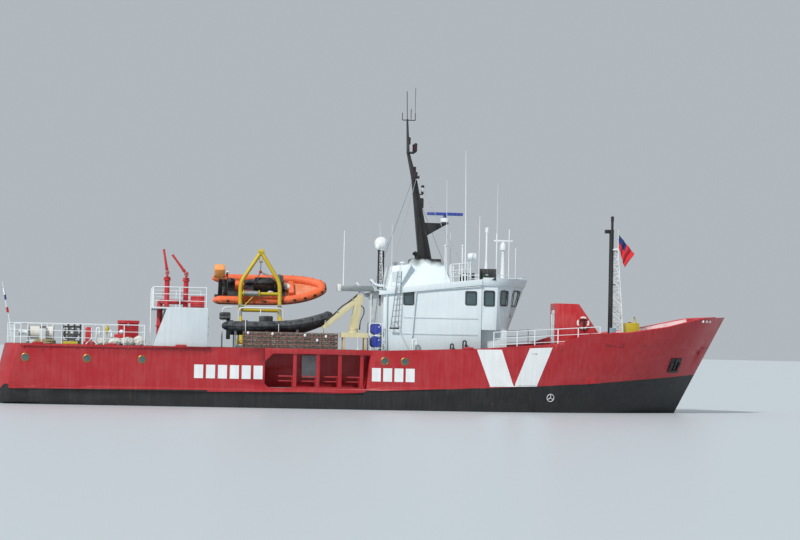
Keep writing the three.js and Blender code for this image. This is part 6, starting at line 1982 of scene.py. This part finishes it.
# Windlass: cast steel gypsies and warping ends on a galvanised bed, with anchor chain of welded
# links running to each pipe.
windlass_parts = [
    block("bed", (15.3, -0.9, foredeck_z), (16.2, 0.9, 3.62), galvanised, 0.02),
    block("gearbox", (15.5, -0.25, 3.6), (16, 0.25, 4.35), winch_enamel, 0.05),
    turned(
        "shaft", (15.7, -1.15, 3.95), to_port,
        [
            (0, 0.1), (0, 0.15), (0.05, 0.15), (0.12, 0.11), (0.2, 0.1), (2.1, 0.1), (2.18, 0.11),
            (2.25, 0.15), (2.3, 0.15), (2.3, 0.1),
        ],
        galvanised,
    ),
]
for y in (-0.6, 0.6):
    windlass_parts.append(turned("gypsy", (15.7, y - 0.16, 3.95), to_port, [
        (0, 0.15), (0, 0.3), (0.04, 0.3), (0.1, 0.22), (0.22, 0.22), (0.28, 0.3), (0.32, 0.3),
        (0.32, 0.15),
    ], galvanised, 28))
    chain = []
    for k in range(9):
        at = Vector((15.95 + 0.11 * k, y, 4.08 - 0.05 * k))
        tall = aloft(0.045) if k % 2 else Vector((0, 0.045, 0))
        loop = [at + Vector((0.08 * u, 0, 0)) + tall * v for u, v in circle(12)]
        chain.append((loop, 0.016))
    windlass_parts.append(pipework("chain", chain, galvanised))
settle(joined("anchor_windlass", windlass_parts), "galvanised_steel", "windlass")

# Yellow tank in a lifting frame, and the anchor: a forged stockless anchor on each bow, on a black
# plate that is painted shade for its recessed pocket.
tank_parts = [
    block("tank", (13.64, -0.55, 4.2), (14.33, 0.55, 4.83), davit_enamel, 0.06),
    pipework("bridle", [([(x, 0, 4.8), (14.17, 0, 5.13)], 0.025) for x in (14.04, 14.3)], davit_enamel, 3),
    turned(
        "eye", (14.17, -0.04, 5.13), to_port, [(0, 0.02), (0, 0.045), (0.08, 0.045), (0.08, 0.02)],
        galvanised, 16,
    ),
    turned("cap", (13.85, -0.25, 4.82), upward, [(0, 0.1), (0.05, 0.1), (0.06, 0.06)], dark_plastic, 20),
]
for x in (13.66, 14.21):
    for y in (-0.5, 0.4):
        tank_parts.append(block("leg", (x, y, foredeck_z), (x + 0.1, y + 0.1, 4.25), davit_enamel, 0.01))
for y in (-0.552, 0.532):
    for z in (4.23, 4.5, 4.76):
        tank_parts.append(block("hoop", (13.642, y, z), (14.328, y + 0.02, z + 0.05), davit_enamel, 0.006))
settle(joined("foredeck_yellow_tank", tank_parts), "davit_paint", "foredeck_tank")
anchors = []
for side in (-1, 1):
    x, z = 15.95, 2.6
    face = shell_half(x, z)
    spread = shell_half(x, z + 0.3) - shell_half(x, z - 0.3)
    lean = math.atan2(spread, 0.6)
    anchor = joined("anchor", [
        # The black plate is painted shade for a recessed pocket in the shell.
        block("pocket", (-0.42, -0.02, -0.42), (0.42, 0.015, 0.42), boot_enamel, 0.01),
        block("shank", (-0.06, 0, -0.35), (0.06, 0.1, 0.4), mast_enamel, 0.02),
        block("crown", (-0.36, 0, -0.4), (0.36, 0.14, -0.24), mast_enamel, 0.03),
        block("fluke", (-0.36, 0.02, -0.3), (-0.2, 0.12, 0.2), mast_enamel, 0.04),
        block("fluke", (0.2, 0.02, -0.3), (0.36, 0.12, 0.2), mast_enamel, 0.04),
    ])
    yaw = math.atan2(shell_half(x - 0.4, z) - shell_half(x + 0.4, z), 0.8)
    turn = Matrix.Rotation(-yaw, 4, "Z") @ Matrix.Rotation(-lean, 4, "X")
    anchor.data.transform(Matrix.Translation((x, face - 0.01, z)) @ turn)
    if side < 0:
        anchor.data.transform(Matrix.Scale(-1, 4, (0, 1, 0)))
        anchor.data.flip_normals()
    anchors.append(anchor)
settle(joined("bow_anchors", anchors), "black_paint")

# Rails on the gunwale beside the wheelhouse: white enamelled tube with three bars, welded to the
# bulwark and rising with the sheer.
rail_places = (5.74, 6.97, 7.9, 9.13, 10.22, 11.41)
for side, name in ((-1, "starboard"), (1, "port")):
    runs = []
    for x in rail_places:
        y = side * (shell_half(x, sheer_at(x), False) - 0.045)
        runs.append(([(x, y, sheer_at(x) - 0.01), (x, y, 4.15 + 0.0723 * (x - 5.74))], 0.028))
    for drop, radius in ((0.02, 0.022), (0.35, 0.016), (0.68, 0.016)):
        bar = []
        for x in [5.74 + 0.189 * k for k in range(31)]:
            z = 4.15 + 0.0723 * (x - 5.74) - drop
            if z > sheer_at(x) - 0.02:
                bar.append((x, side * (shell_half(x, sheer_at(x), False) - 0.045), z))
        runs.append((bar, radius))
    settle(pipework("gunwale_rails_" + name, runs, white_enamel, 3), "white_paint", "fore_rails_" + name)

# Bow bulwark: flanged plate stays welded from the deck to the rail under a rounded cap, with
# cast fairleads let into the shell at the apron.
bow_parts = []
for side in (-1, 1):
    for x in (12.7, 13.5, 14.5, 15.5, 16.5):
        foot, head = shell_half(x, 3.6, False) - 0.1, shell_half(x, sheer_at(x), False) - 0.1
        stay = [Vector((x, side * y, z)) for y, z in (
            (foot - 0.34, 3.51), (foot, 3.51), (head, sheer_at(x) - 0.03),
            (head - 0.12, sheer_at(x) - 0.03),
        )]
        bow_parts.append(pane("stay", stay, bulwark_enamel, 0.02, 0.014))
    cap_line = [(
        x, side * (shell_half(x, sheer_at(x), False) - 0.05), sheer_at(x) + 0.005,
    ) for x in [12 + 0.4 * k for k in range(17)]]
    bow_parts.append(pipework("rail_cap", [(cap_line, 0.045)], bulwark_enamel))
    for x in (17.4, 17.66, 17.92):
        seat = (x, side * (shell_half(x, 4.98) - 0.01), 4.98)
        bow_parts.append(turned(
            "fairlead", seat, (0, side, 0), [(0, 0.05), (0.03, 0.075), (0.05, 0.06), (0.035, 0.035)],
            mark_enamel, 16,
        ))
settle(joined("bulwark_stays_and_fairleads", bow_parts), "hull_paint")

# Underwater gear: bronze propeller and thruster fan, plated rudder; the hatch leaf in the rescue
# zone is bare galvanised plate.
bronze_cast = two_tone("cast_bronze_polished_and_dulled", "#6d5a2f", "#b98f4a", 0.35, 0.9)
dressed("propeller", bronze_cast, "propeller_casting", 0.012, 40)
dressed("thruster_fan", bronze_cast, "thruster_fan_casting", 0.008, 40)
dressed("rudder", antifouling, "rudder_plating", 0.03)
dressed("rescue_hatch", galvanised, "rescue_hatch_leaf", 0.012)
